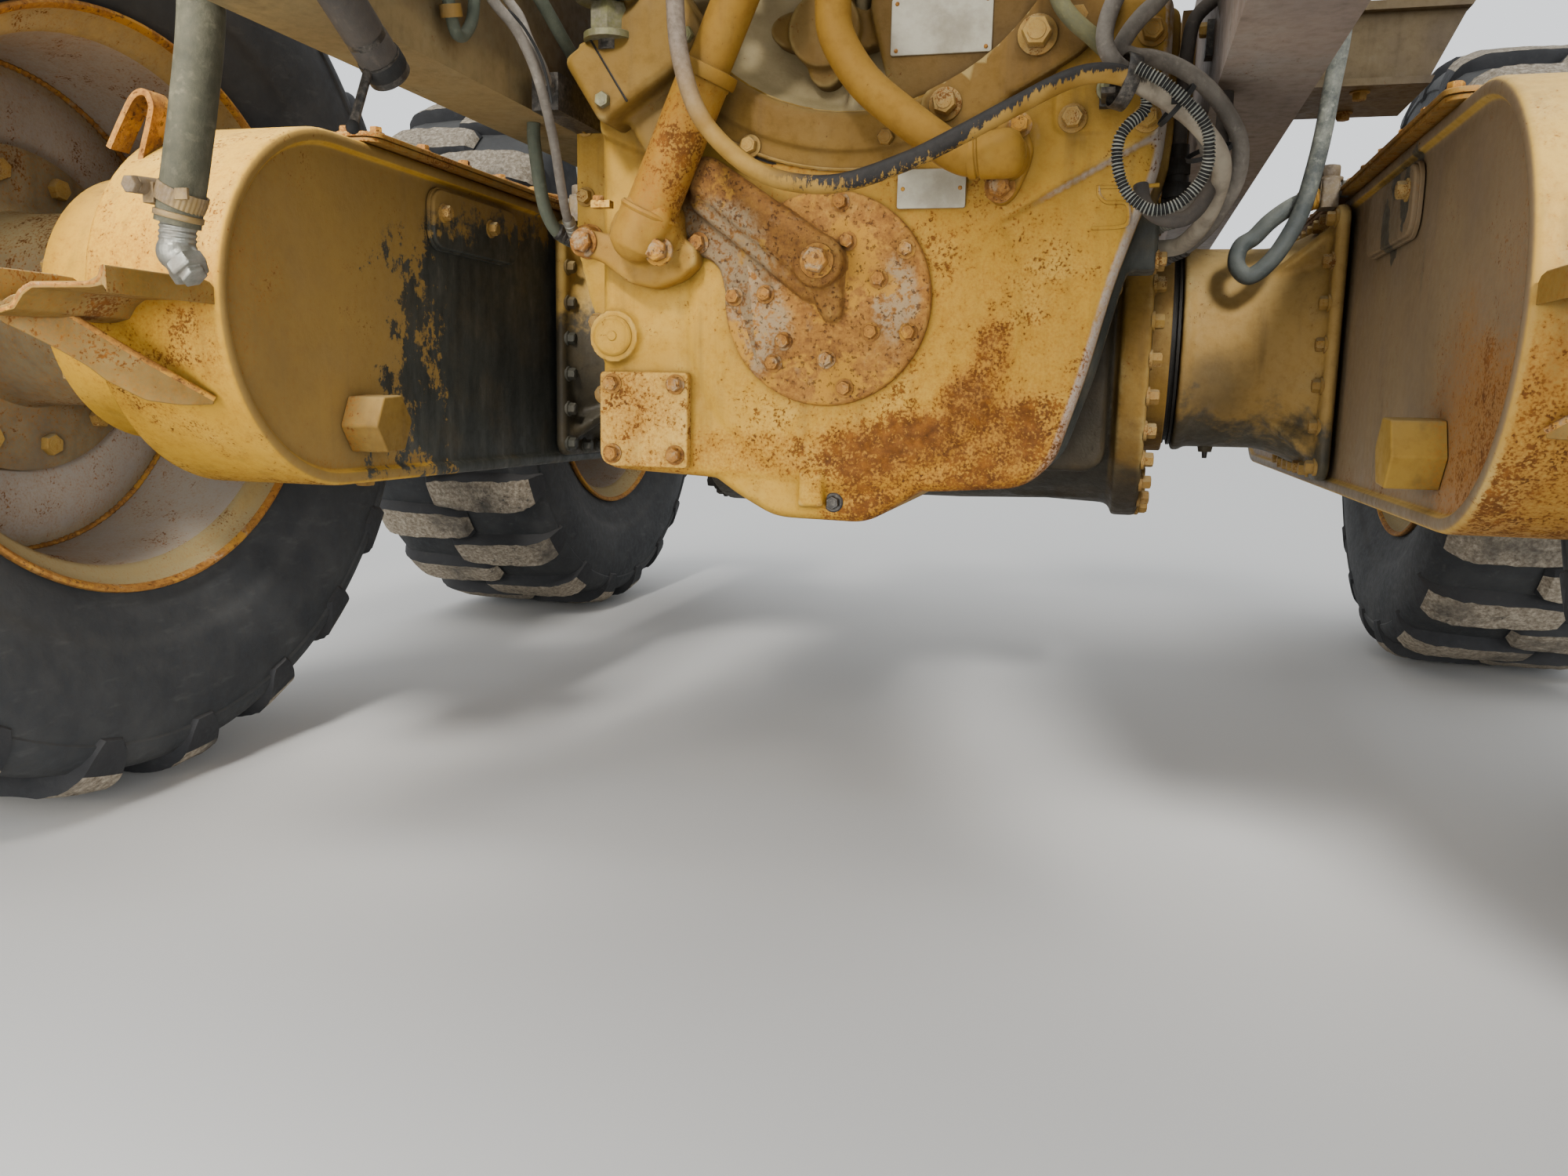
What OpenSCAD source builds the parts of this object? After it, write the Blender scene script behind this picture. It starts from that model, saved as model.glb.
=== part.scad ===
// Rear tandem drive unit of a motor grader.
// Two frame rails with the articulation hitch in front, the gear case and the
// final drive between them, and a walking-beam tandem case with two wheels on
// each side. Millimetres, +X right, +Y forward, +Z up.
// The origin is the centre of the lower articulation pin bore.

/* [Wheels] */
// Outer radius of a tyre over its tread bars
tyre_r = 610; // [600:5:620]
// Width of a tyre
tyre_w = 424; // [400:4:430]
// Distance of a tyre's centre plane from the middle of the machine
track_half = 1069; // [1060:1:1080]
// Radius of the rim's flange
rim_r = 351; // [345:1:355]
// Width of the rim over its flanges
rim_w = 366; // [360:2:370]

/* [Tandem cases] */
// Distance of each wheel axle from the tandem's pivot
axle_half = 762; // [740:2:780]
// Radius of a case's round ends, half its height
case_r = 205; // [195:1:210]
// Distance of a case's inner wall from the middle
case_in = 595; // [590:1:600]
// Distance of a case's outer wall from the middle
case_out = 765; // [755:1:770]
// Thickness of the top cover plate
cover_t = 12; // [8:1:16]
// Radius of the wheel spindle housing
spindle_r = 155; // [140:1:160]

/* [Pivot] */
// Radius of the final drive's side flange
side_flange_r = 265; // [255:1:270]
// Radius of the trunnion that a tandem case turns on
trunnion_r = 120; // [110:1:125]
// Outer radius of the pivot housing's tube
pivot_r = 152; // [145:1:156]
// Running gap between trunnion and housing
pivot_gap = 0.3; // [0.3:0.1:0.6]
// Half the side of the pivot housing's square flange
pivot_flange = 192; // [185:1:198]

/* [Frame] */
// Inner face of a rail, from the middle
rail_in = 375; // [372:1:380]
// Width of a rail
rail_w = 95; // [90:1:100]
// Height of a rail
rail_h = 258; // [240:2:280]
// Underside of the rails, above the axles
rail_z = 232; // [228:1:240]
// Rear end of the rails, behind the pivot
rail_back = 1600; // [1560:10:1640]
// Front end of the rails, ahead of the pivot
rail_front = 1150; // [1120:10:1160]
// Plate thickness of a rail
rail_t = 14; // [10:1:18]

/* [Hitch] */
// Distance of the articulation pins ahead of the pivot
hitch_y = 1450; // [1430:5:1480]
// Height of the lower lug's middle above the axles
hitch_z = 295; // [290:1:300]
// Thickness of one lug
lug_t = 50; // [40:2:56]
// Height of the upper lug above the lower one
lug_gap = 350; // [330:5:380]
// Radius of the pin bores
pin_r = 40; // [35:1:45]

/* [Gear case] */
// Rear face of the gear case, behind the pivot
face_y = 680; // [670:2:690]
// Radius of the bell's rim
bell_r = 305; // [300:1:308]
// Height of the bell's centre above the axles
bell_z = 460; // [455:1:465]
// Radius of the round cover
cover_r = 118; // [112:1:120]

/* [Hidden] */
axle_z = tyre_r;

yellow = [0.78, 0.52, 0.12];
dark = [0.2, 0.2, 0.21];
rust = [0.5, 0.3, 0.16];

// ---- helpers ---------------------------------------------------------
// Everything below is drawn about the tandem pivot, axle height at z = 0,
// and place() moves it to the articulation pin's origin.
module place() translate([0, -hitch_y, -hitch_z]) children();
// an outline in (Y, Z) drawn from x0 to x1
module along_x(x0, x1)
    translate([x0, 0, 0]) rotate([90, 0, 90]) linear_extrude(x1 - x0) children();
// an outline in (X, Z) drawn from y0 to y1
module along_y(y0, y1)
    translate([0, y1, 0]) rotate([90, 0, 0]) linear_extrude(y1 - y0) children();
// round bar along X, Y
module bar_x(r, x0, x1, y = 0, z = 0)
    translate([x0, y, z]) rotate([0, 90, 0]) cylinder(h = x1 - x0, r = r, $fn = 96);
module bar_y(r, y0, y1, x = 0, z = 0)
    translate([x, y1, z]) rotate([90, 0, 0]) cylinder(h = y1 - y0, r = r, $fn = 96);
module box(a, b) translate(a) cube(b - a);
// right-hand piece as drawn, left-hand piece mirrored
module hand(s) if (s > 0) children(); else mirror([1, 0, 0]) children();
// a rounded rectangle from corner a to corner b
module round_rect(a, b, r) {
    translate([a[0] + r, a[1]]) square([b[0] - a[0] - 2 * r, b[1] - a[1]]);
    translate([a[0], a[1] + r]) square([b[0] - a[0], b[1] - a[1] - 2 * r]);
    for (x = [a[0] + r, b[0] - r], y = [a[1] + r, b[1] - r])
        translate([x, y]) circle(r, $fn = 32);
}
// straight bar between two points
module bar(a, b, r, n = 48) {
    d = b - a;
    translate(a)
        rotate([0, acos(d[2] / norm(d)), atan2(d[1], d[0])])
            cylinder(h = norm(d), r = r, $fn = n);
}

// hose: one skin swept along the given points
function unit(v) = v / norm(v);
function heading(p, i) = i == 0 ? unit(p[1] - p[0])
    : i == len(p) - 1 ? unit(p[i] - p[i - 1])
    : unit(unit(p[i + 1] - p[i]) + unit(p[i] - p[i - 1]));
function rings(p, r, n, i = 0, u = [1, 0, 0]) = i == len(p) ? [] :
    let (t = heading(p, i),
         a = i > 0 ? u - t * (u * t)
             : abs(t[2]) < 0.8 ? cross(t, [0, 0, 1]) : cross(t, [1, 0, 0]),
         b = unit(a), c = cross(t, b))
    concat([for (k = [0 : n - 1])
        p[i] + r * (cos(360 * k / n) * b + sin(360 * k / n) * c)],
        rings(p, r, n, i + 1, b));
module hose(p, r, n = 10) {
    m = len(p);
    polyhedron(rings(p, r, n), concat(
        [[for (k = [0 : n - 1]) k]],
        [[for (k = [n - 1 : -1 : 0]) (m - 1) * n + k]],
        [for (i = [0 : m - 2], k = [0 : n - 1])
            [i * n + k, (i + 1) * n + k, (i + 1) * n + (k + 1) % n]],
        [for (i = [0 : m - 2], k = [0 : n - 1])
            [i * n + k, (i + 1) * n + (k + 1) % n, i * n + (k + 1) % n]]));
}

// ---- hose routes, chosen by hand (X, Y, Z about the pivot) -------------
main_route = [[-180, -692, 650], [-180, -725, 649], [-178, -765, 630],
    [-174, -792, 590], [-170, -800, 530], [-168, -800, 460], [-167, -800, 390],
    [-165, -800, 310], [-158, -800, 251], [-136, -800, 194], [-92, -800, 150],
    [-46, -800, 129], [12, -800, 125], [79, -800, 144], [130, -798, 167],
    [178, -795, 191], [235, -786, 219], [275, -774, 224], [310, -757, 211],
    [350, -746, 186], [378, -729, 156], [382, -706, 130], [372, -655, 100],
    [354, -594, 86], [330, -580, 84]];
conduit_route = [[295, -785, 226], [321, -785, 211], [348, -779, 189],
    [362, -772, 172], [366, -766, 155], [366, -760, 139], [359, -755, 123],
    [344, -755, 107], [327, -755, 100], [311, -755, 102], [295, -755, 114],
    [285, -755, 132], [281, -755, 152], [283, -755, 170], [292, -753, 183],
    [303, -749, 193]];
grey_route_a = [[375, -735, 400], [352, -738, 398], [318, -746, 365],
    [290, -754, 330], [272, -758, 300], [264, -760, 277], [263, -760, 258],
    [270, -757, 243], [284, -747, 233], [312, -735, 222], [345, -727, 200],
    [366, -712, 172], [371, -690, 147], [358, -655, 126], [344, -610, 112],
    [330, -600, 110]];
grey_route_b = [[375, -700, 372], [356, -702, 370], [332, -712, 335],
    [311, -720, 305], [296, -725, 289], [284, -730, 272], [279, -733, 258],
    [290, -726, 252], [310, -714, 252], [336, -706, 244], [362, -698, 228],
    [384, -692, 204], [400, -684, 176], [402, -670, 146], [393, -645, 122],
    [380, -612, 102], [362, -568, 88], [345, -552, 81], [330, -550, 79]];
left_route_a = [[-375, -882, 362], [-360, -880, 354], [-350, -865, 328],
    [-344, -850, 305], [-331, -830, 285], [-325, -810, 264], [-322, -790, 238],
    [-322, -770, 209], [-326, -745, 180], [-334, -715, 149], [-343, -680, 118],
    [-347, -645, 95], [-346, -620, 84]];
left_route_b = [[-375, -820, 350], [-362, -812, 340], [-352, -800, 320],
    [-339, -800, 303], [-328, -800, 278], [-321, -785, 256], [-326, -765, 249],
    [-334, -740, 244]];
left_route_c = [[-375, -735, 372], [-364, -733, 366], [-354, -728, 348],
    [-348, -710, 331], [-342, -690, 312], [-338, -668, 296], [-336, -645, 282],
    [-336, -620, 272]];
left_route_d = [[-404, -640, 232], [-404, -640, 214], [-401, -640, 190],
    [-397, -639, 160], [-391, -636, 130], [-382, -626, 108], [-372, -606, 98],
    [-358, -600, 98]];
drain_route = [[-500, -1080, 362], [-500, -1080, 340], [-500, -1080, 318],
    [-500.5, -1080, 296], [-501, -1080, 274], [-502, -1080, 252],
    [-504, -1080, 230], [-507, -1080, 208], [-511, -1080, 186],
    [-515.5, -1080, 164], [-520, -1080, 142], [-525, -1080, 120],
    [-530, -1080, 98], [-535.5, -1080, 76], [-541, -1080, 54]];
brake_route = [[566, -170, 456], [563, -170, 400], [556, -172, 340],
    [550, -176, 285], [542, -180, 236], [530, -185, 183], [515, -190, 147],
    [493, -194, 112], [467, -195, 92], [450, -188, 108], [454, -178, 134],
    [472, -168, 148], [492, -164, 170], [518, -157, 190], [540, -149, 201],
    [556, -146, 204]];

// ---- frame --------------------------------------------------------------
module rail() color(yellow) place() {
    // channel section, its open side outward
    difference() {
        box([rail_in, -rail_back, rail_z],
            [rail_in + rail_w, rail_front, rail_z + rail_h]);
        box([rail_in + rail_t, -rail_back - 1, rail_z + rail_t + 4],
            [rail_in + rail_w + 1, rail_front + 1, rail_z + rail_h - rail_t - 4]);
    }
    // upright stiffeners inside the channel
    for (y = [-1350, -850, -420, 420, 850])
        box([rail_in + rail_t, y, rail_z + rail_t + 4],
            [rail_in + rail_w - 12, y + 12, rail_z + rail_h - rail_t - 4]);
}
module rail_left() hand(-1) rail();
module rail_right() hand(1) rail();

module lug_outline() {
    polygon([[-230, rail_front + 60], [230, rail_front + 60],
        [105, hitch_y - 20], [-105, hitch_y - 20]]);
    translate([0, hitch_y]) circle(110, $fn = 96);
}
module hitch_frame() color(yellow) place() {
    // cross box that closes the rails' front ends
    box([-470, rail_front, rail_z - 20], [470, rail_front + 60, rail_z + rail_h + 12]);
    // upright tower between the lugs
    box([-230, rail_front, rail_z + rail_h + 12],
        [230, rail_front + 60, hitch_z + lug_gap + 60]);
    for (x = [-230, 200])
        box([x, rail_front + 60, hitch_z - 60], [x + 30, rail_front + 130, hitch_z + lug_gap + 60]);
    // braces from the rails up to the tower
    for (s = [-1, 1]) hand(s)
        translate([200, 0, 0]) along_x(0, 30) polygon([
            [rail_front, rail_z + rail_h + 12],
            [rail_front - 260, rail_z + rail_h + 12],
            [rail_front - 260, rail_z + rail_h + 30],
            [rail_front, hitch_z + lug_gap + 20]]);
    // the two lugs with their pin bores
    for (z = [hitch_z, hitch_z + lug_gap])
        translate([0, 0, z - lug_t / 2]) difference() {
            linear_extrude(lug_t) lug_outline();
            translate([0, hitch_y, -1]) cylinder(h = lug_t + 2, r = pin_r, $fn = 96);
        }
}

module rear_bumper() color(yellow) place() {
    difference() {
        box([-620, -rail_back - 90, rail_z - 40],
            [620, -rail_back, rail_z + rail_h + 20]);
        // four holes for what is fastened behind
        for (x = [-150, 150], z = [rail_z + 30, rail_z + 190])
            bar_y(13, -rail_back - 91, -rail_back - 40, x, z);
    }
    // towing clevis
    for (z = [rail_z + 70, rail_z + 140]) difference() {
        translate([0, 0, z]) linear_extrude(28) {
            translate([-65, -rail_back - 170]) square([130, 90]);
            translate([0, -rail_back - 170]) circle(65, $fn = 64);
        }
        translate([0, -rail_back - 175, z - 1]) cylinder(h = 30, r = 19, $fn = 64);
    }
}

module rear_crossmember() color(yellow) place()
    box([-rail_in, -1300, rail_z + 30], [rail_in, -1190, rail_z + 150]);

module axle_saddle() color(yellow) place() {
    box([-rail_in, -150, 268], [rail_in, 190, 330]);
    for (s = [-1, 1]) hand(s)
        box([rail_in - 20, -190, 330], [rail_in, 230, 450]);
}

module platform_brackets() color(yellow) place() for (s = [-1, 1]) hand(s) {
    x0 = rail_in + rail_w;
    // lower and upper plate, outer end raked, two webs between them
    along_y(80, 300) polygon([[x0, 405], [732, 405], [737, 416], [x0, 416]]);
    along_y(80, 300) polygon([[x0, 515], [780, 515], [787, 528], [x0, 528]]);
    for (y = [96, 274]) along_y(y, y + 10)
        polygon([[x0, 410], [730, 410], [780, 520], [x0, 520]]);
    // upper end of the brake hose
    box([x0, -200, 446], [546, -140, 490]);
}

// ---- final drive and gear case -------------------------------------------
module final_drive_housing() color(yellow) place() {
    // banjo with side flanges and trunnions, turned about X
    rotate([0, 90, 0]) rotate_extrude($fn = 128) polygon([
        [0, -560], [trunnion_r, -560], [trunnion_r, -340], [side_flange_r, -340],
        [side_flange_r, -300], [242, -296], [250, -150], [250, 150], [242, 296],
        [side_flange_r, 300], [side_flange_r, 340], [trunnion_r, 340],
        [trunnion_r, 560], [0, 560]]);
    // flat pads on top, for the saddle, and behind, for the gear case
    box([-290, -140, 150], [290, 180, 268]);
    box([-286, -262, -190], [286, -150, 170]);
    // filler neck in front
    bar_y(70, 200, 290);
}

// rear face of the gear case, (X, Z) corners going round
case_back = [[-300, -178], [-60, -190], [100, -192], [200, -184], [233, -156],
    [262, -60], [286, 40], [308, 108], [325, 152], [329, 195], [329, 330],
    [-300, 330]];
// the wider flange ahead of it
case_front = [[-318, -178], [-60, -186], [200, -180], [240, -150], [270, -60],
    [294, 40], [316, 108], [334, 152], [338, 200], [338, 330], [-358, 330],
    [-358, 90], [-340, 20], [-318, -30]];
// sump under it
case_sump = [[-195, -170], [-130, -205], [-85, -229], [25, -231], [75, -200],
    [120, -180]];
module gear_case() color(yellow) place() {
    along_y(-face_y, -face_y + 60) polygon(case_back);
    along_y(-face_y + 60, -face_y + 100) polygon(case_front);
    along_y(-face_y + 100, -262) polygon(case_back);
    along_y(-face_y + 6, -320) polygon(case_sump);
    // drain boss
    along_y(-face_y - 12, -face_y + 8) polygon([[-52, -150], [-52, -213],
        [-14, -213], [-14, -185], [-30, -150]]);
    // four-bolt pad at the upper right
    along_y(-face_y - 14, -face_y + 2) round_rect([214, 186], [324, 318], 14);
    // outlet elbow's boss
    along_y(-face_y - 10, -face_y + 2) {
        translate([168, 170]) circle(46, $fn = 48);
        translate([164, 105]) circle(24, $fn = 32);
        translate([182, 235]) circle(24, $fn = 32);
    }
    // manifold block on the right side, where two hoses end
    box([270, -620, 30], [330, -500, 130]);
    // small round cap at the left edge
    bar_y(22, -face_y - 14, -face_y + 2, -280, -22);
}

module bell_housing() color(yellow) place() difference() {
    translate([0, -330, bell_z]) rotate([90, 0, 0])
        rotate_extrude($fn = 128) polygon([
            [0, 0], [bell_r - 25, 0], [bell_r - 12, 60], [bell_r - 12, 300],
            [bell_r, 300], [bell_r, 352], [bell_r - 14, 362],
            [243, 362], [236, 322], [90, 306], [72, 318], [0, 318]]);
    // its lower part belongs to the gear case
    along_y(-face_y - 1, -200) polygon([[-400, 100], [400, 100], [400, 331], [-400, 331]]);
}

module input_yoke() color(yellow) place() {
    difference() {
        bar_y(76, -face_y - 26, -face_y + 32, 0, bell_z);
        for (a = [45 : 90 : 315])
            translate([58 * cos(a), 0, 58 * sin(a)])
                bar_y(6, -face_y - 27, -face_y + 12, 0, bell_z);
    }
    bar_y(40, -face_y - 56, -face_y - 26, 0, bell_z);
}

module round_cover() color(rust) place() {
    bar_y(cover_r, -face_y - 14, -face_y, -24, 20);
    // raised arm to the upper left, round end at its boss
    translate([-34, 0, 62]) rotate([0, 32, 0])
        along_y(-face_y - 42, -face_y - 14) {
            circle(27, $fn = 48);
            translate([-140, -27]) square([140, 54]);
        }
    bar_y(20, -face_y - 52, -face_y - 42, -34, 62);
}

module corner_cover() color(rust) place()
    along_y(-face_y - 12, -face_y) round_rect([-301, -177], [-189, -63], 14);

module valve_block() color(yellow) place()
    difference() {
        translate([-309, -face_y - 70, 261]) rotate([0, -33, 0])
            translate([0, 0, -84]) cube([150, 70, 84]);
        box([-400, -face_y - 12, 330.5], [0, 0, 500]);
    }

module oil_pipe() color(yellow) place() {
    a = [-228, -face_y - 46, 92];
    b = [-96, -face_y - 66, 372];
    bar(a, a + (b - a) * 0.6, 29, 12);
    bar(a + (b - a) * 0.58, b, 24, 12);
    bar(a + (b - a) * 0.56, a + (b - a) * 0.61, 33, 12);
    // two-bolt foot
    along_y(-face_y - 30, -face_y)
        polygon([[-345, 68], [-330, 110], [-240, 118], [-185, 90], [-190, 60], [-250, 36]]);
    box([-262, -face_y - 82, 54], [-194, -face_y - 10, 122]);
    // upper end, held by a strap on the bell's rim
    box([-128, -face_y - 96, 345], [-66, -face_y - 12, 408]);
    box([-272, -face_y - 32, 352], [-70, -face_y - 12, 378]);
}

module bent_pipe() color(yellow) place() {
    p = [[-14, -742, 400], [-14, -742, 290], [8, -742, 246], [84, -742, 180],
         [126, -738, 160], [168, -724, 168]];
    for (i = [0 : len(p) - 2]) bar(p[i], p[i + 1], 19);
    for (i = [1 : len(p) - 2]) translate(p[i]) sphere(20.5, $fn = 48);
    bar([168, -738, 168], [168, -690, 168], 40);
}

// ---- hoses on the chassis --------------------------------------------------
module main_hose() color(yellow) place() hose(main_route, 10, 10);
module conduit_loop() color(dark) place() hose(conduit_route, 7, 8);
module grey_hoses() color([0.45, 0.45, 0.43]) place() {
    hose(grey_route_a, 8.5, 8);
    hose(grey_route_b, 8.5, 8);
}
module left_hoses() color([0.45, 0.45, 0.43]) place() {
    hose(left_route_a, 5.5, 8);
    hose(left_route_b, 5, 8);
    hose(left_route_c, 7.5, 8);
    hose(left_route_d, 8, 8);
}
module pipe_stubs() color(dark) place() {
    // elbow on the left rail that the drain hose is pushed onto
    bar([-389, -1080, 400], [-500, -1080, 400], 15);
    translate([-500, -1080, 400]) sphere(19, $fn = 48);
    bar([-500, -1080, 400], [-500, -1080, 362], 16);
    // capped cylinder that hangs from a lug inside the left rail
    bar([-355, -1115, 249], [-355, -1034, 197], 18);
    bar([-355, -1040, 201], [-355, -1022, 189], 19.5);
    box([-381, -1092, 234], [-350, -1076, 262]);
    // small junction block on the gear case's flange
    box([-356, -740, 222], [-324, -face_y + 60, 262]);
}
module drain_hose() color(dark) place() hose(drain_route, 20, 12);
module drain_elbow() color([0.6, 0.6, 0.58]) place() {
    bar([-541, -1080, 54], [-543, -1080, 30], 16);
    translate([-543, -1080, 30]) sphere(19, $fn = 32);
    bar([-543, -1080, 30], [-522, -1083, 6], 15);
}

// ---- tandem cases -------------------------------------------------------------
module capsule(r) {
    translate([-axle_half, -r]) square([2 * axle_half, 2 * r]);
    for (s = [-1, 1]) translate([s * axle_half, 0]) circle(r, $fn = 128);
}
module tandem_case() color(yellow) place() {
    difference() {
        along_x(case_in, case_out) capsule(case_r);
        // inner wall set back inside the wrapper at both ends
        for (s = [-1, 1]) along_x(case_in - 1, case_in + 5) intersection() {
            capsule(case_r - 14);
            translate([s > 0 ? 240 : -1240, -300]) square([1000, 600]);
        }
    }
    for (s = [-1, 1]) {
        // spindle housing of each wheel
        bar_x(spindle_r, case_out, 872, s * axle_half);
        bar_x(spindle_r - 28, 872, 900, s * axle_half);
        // six-sided jacking block low on the inner wall
        translate([case_in - 43, s * 722, -131]) rotate([0, 90, 0])
            cylinder(h = 49, r = 39, $fn = 6);
        // bolted inspection plate high on the inner wall
        along_x(case_in - 6, case_in + 6)
            round_rect([s > 0 ? 330 : -553, 92], [s > 0 ? 553 : -330, 184], 20);
    }
}
module tandem_cover() color(rust) place()
    box([case_in - 14, -705, case_r], [case_out + 14, 705, case_r + cover_t]);

module pivot_housing() color(yellow) place() difference() {
    union() {
        bar_x(pivot_r, 385, case_in - 18);
        // mouth ring and the flare into the flange
        bar_x(pivot_r + 6, 385, 400);
        rotate([0, 90, 0]) translate([0, 0, 520])
            cylinder(h = case_in - 18 - 520, r1 = pivot_r, r2 = pivot_r + 26, $fn = 96);
        along_x(case_in - 18, case_in)
            round_rect([-pivot_flange, -pivot_flange], [pivot_flange, pivot_flange], 24);
        // brake fitting block on top of the flange
        box([556, -166, pivot_flange - 4], [580, -126, pivot_flange + 36]);
    }
    bar_x(trunnion_r + pivot_gap, 384, case_in + 1);
}

module step() color(yellow) place() {
    // tread behind the case's end, its two long edges turned up
    difference() {
        along_y(-1105, -930) polygon([[600, 17], [606, 17], [610, 7], [621, 2.5],
            [686, 2.5], [701, -5], [711, -17], [728, -21], [750, -21],
            [760, -12], [761, 20], [767, 20], [766, -16], [753, -27],
            [726, -27], [707, -23], [696, -10], [685, -3.5], [618, -3.5],
            [604, -1], [600, -9]]);
        bar_x(case_r, 590, 780, -axle_half);
    }
    // leaf-shaped brace from low on the case's end to the tread's outer run
    difference() {
        translate([615, -935, 0]) rotate([0, 0, -42]) along_y(-3, 3)
            polygon([[-8, -108], [15, -103], [76, -68], [129, -33], [160, -10],
                [192, -10], [196, -26], [187, -38], [155, -56], [129, -72],
                [112, -87], [78, -107], [45, -111], [-8, -113]]);
        bar_x(case_r, 590, 780, -axle_half);
    }
    // lifting strap, bent over, on top of the case's end
    difference() {
        along_x(700, 740) difference() {
            translate([-915, 168]) circle(42, $fn = 48);
            translate([-915, 168]) circle(34, $fn = 48);
            translate([-980, 90]) square([130, 72]);
        }
        bar_x(case_r, 600, case_out, -axle_half);
    }
    difference() {
        along_x(700, 740) {
            translate([-957, 110]) square([8, 60]);
            translate([-881, 110]) square([8, 60]);
        }
        bar_x(case_r, 600, case_out, -axle_half);
    }
}

module brake_hose() color(dark) place() hose(brake_route, 12, 10);

// ---- wheels --------------------------------------------------------------------
// side: +1 right, -1 left; end: +1 front, -1 rear
module wheel_at(side, end) hand(side) place()
    translate([track_half, end * axle_half, 0]) rotate([0, 90, 0]) children();
// profiles are (radius, distance outboard of the wheel's centre plane)
module hub() color(yellow) rotate_extrude($fn = 96) polygon([
    [0, -164], [118, -164], [118, -10], [205, -8], [205, 20], [140, 20],
    [140, 48], [112, 56], [108, 84], [0, 88]]);
module rim() color(yellow) rotate_extrude($fn = 128) {
    w = rim_w / 2;
    // barrel with its two flanges
    polygon([[rim_r - 41, -w + 14], [rim_r - 41, -w], [rim_r, -w], [rim_r, -w + 14],
        [rim_r - 29, -w + 14], [rim_r - 29, w - 14], [rim_r, w - 14], [rim_r, w],
        [rim_r - 41, w], [rim_r - 41, 38], [140.5, 38], [140.5, 20], [rim_r - 41, 20]]);
}
module tyre() color(dark) rotate_extrude($fn = 128) {
    w = tyre_w / 2;
    b = rim_w / 2 - 14.5;
    polygon([[rim_r - 28.5, -b], [rim_r + 20, -b - 6], [rim_r + 70, -w + 8],
        [rim_r + 120, -w], [tyre_r - 75, -w + 2], [tyre_r - 22, -w + 14],
        [tyre_r - 4, -w + 70], [tyre_r, -w + 130], [tyre_r, w - 130],
        [tyre_r - 4, w - 70], [tyre_r - 22, w - 14], [tyre_r - 75, w - 2],
        [rim_r + 120, w], [rim_r + 70, w - 8], [rim_r + 20, b + 6],
        [rim_r - 28.5, b], [rim_r - 28.5, b - 34], [rim_r + 20, b - 24],
        [rim_r + 70, w - 32], [rim_r + 120, w - 24], [tyre_r - 90, w - 34],
        [tyre_r - 62, w - 62], [tyre_r - 48, w - 130],
        [tyre_r - 48, 130 - w], [tyre_r - 62, 62 - w], [tyre_r - 90, 34 - w],
        [rim_r + 120, 24 - w], [rim_r + 70, 32 - w], [rim_r + 20, 24 - b],
        [rim_r - 28.5, 34 - b]]);
}

rail_left();
rail_right();
hitch_frame();
rear_bumper();
rear_crossmember();
axle_saddle();
platform_brackets();
final_drive_housing();
gear_case();
bell_housing();
input_yoke();
round_cover();
corner_cover();
valve_block();
oil_pipe();
bent_pipe();
main_hose();
conduit_loop();
grey_hoses();
left_hoses();
pipe_stubs();
drain_hose();
drain_elbow();
hand(-1) tandem_case();  // tandem_case_left
hand(1) tandem_case();  // tandem_case_right
hand(-1) tandem_cover();  // tandem_cover_left
hand(1) tandem_cover();  // tandem_cover_right
hand(-1) pivot_housing();  // pivot_housing_left
hand(1) pivot_housing();  // pivot_housing_right
hand(-1) step();  // step_left
hand(1) step();  // step_right
hand(-1) brake_hose();  // brake_hose_left
hand(1) brake_hose();  // brake_hose_right
wheel_at(-1, 1) hub();  // hub_front_left
wheel_at(1, 1) hub();  // hub_front_right
wheel_at(-1, -1) hub();  // hub_rear_left
wheel_at(1, -1) hub();  // hub_rear_right
wheel_at(-1, 1) rim();  // rim_front_left
wheel_at(1, 1) rim();  // rim_front_right
wheel_at(-1, -1) rim();  // rim_rear_left
wheel_at(1, -1) rim();  // rim_rear_right
wheel_at(-1, 1) tyre();  // tyre_front_left
wheel_at(1, 1) tyre();  // tyre_front_right
wheel_at(-1, -1) tyre();  // tyre_rear_left
wheel_at(1, -1) tyre();  // tyre_rear_right
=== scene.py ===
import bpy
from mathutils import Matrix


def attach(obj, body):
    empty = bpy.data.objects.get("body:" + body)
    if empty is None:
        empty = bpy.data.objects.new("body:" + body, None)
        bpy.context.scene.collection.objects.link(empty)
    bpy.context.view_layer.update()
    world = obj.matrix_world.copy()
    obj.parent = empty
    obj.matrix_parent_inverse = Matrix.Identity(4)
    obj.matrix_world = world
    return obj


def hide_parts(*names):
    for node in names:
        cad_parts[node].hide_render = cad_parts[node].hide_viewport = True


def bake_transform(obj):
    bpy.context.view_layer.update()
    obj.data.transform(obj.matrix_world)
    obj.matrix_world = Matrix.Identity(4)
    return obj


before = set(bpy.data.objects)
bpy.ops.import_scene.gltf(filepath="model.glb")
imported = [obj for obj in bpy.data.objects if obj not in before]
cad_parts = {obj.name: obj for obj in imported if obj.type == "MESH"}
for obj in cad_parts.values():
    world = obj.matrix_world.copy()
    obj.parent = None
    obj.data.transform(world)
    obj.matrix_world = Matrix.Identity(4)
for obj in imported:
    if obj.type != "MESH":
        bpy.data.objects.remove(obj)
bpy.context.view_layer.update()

import math
import random

import bmesh
import bpy
import numpy as np
from mathutils import Matrix, Vector

# Points below are written about the tandem pivot at axle height, in metres,
# as in part.scad's modules. OFF moves them to the row's frame.
OFF = Vector((0.0, -1.45, -0.295))
AXLE, TRACK, TYRE_R = 0.762, 1.069, 0.610
FACE = -0.680          # rear face of the gear case


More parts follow.
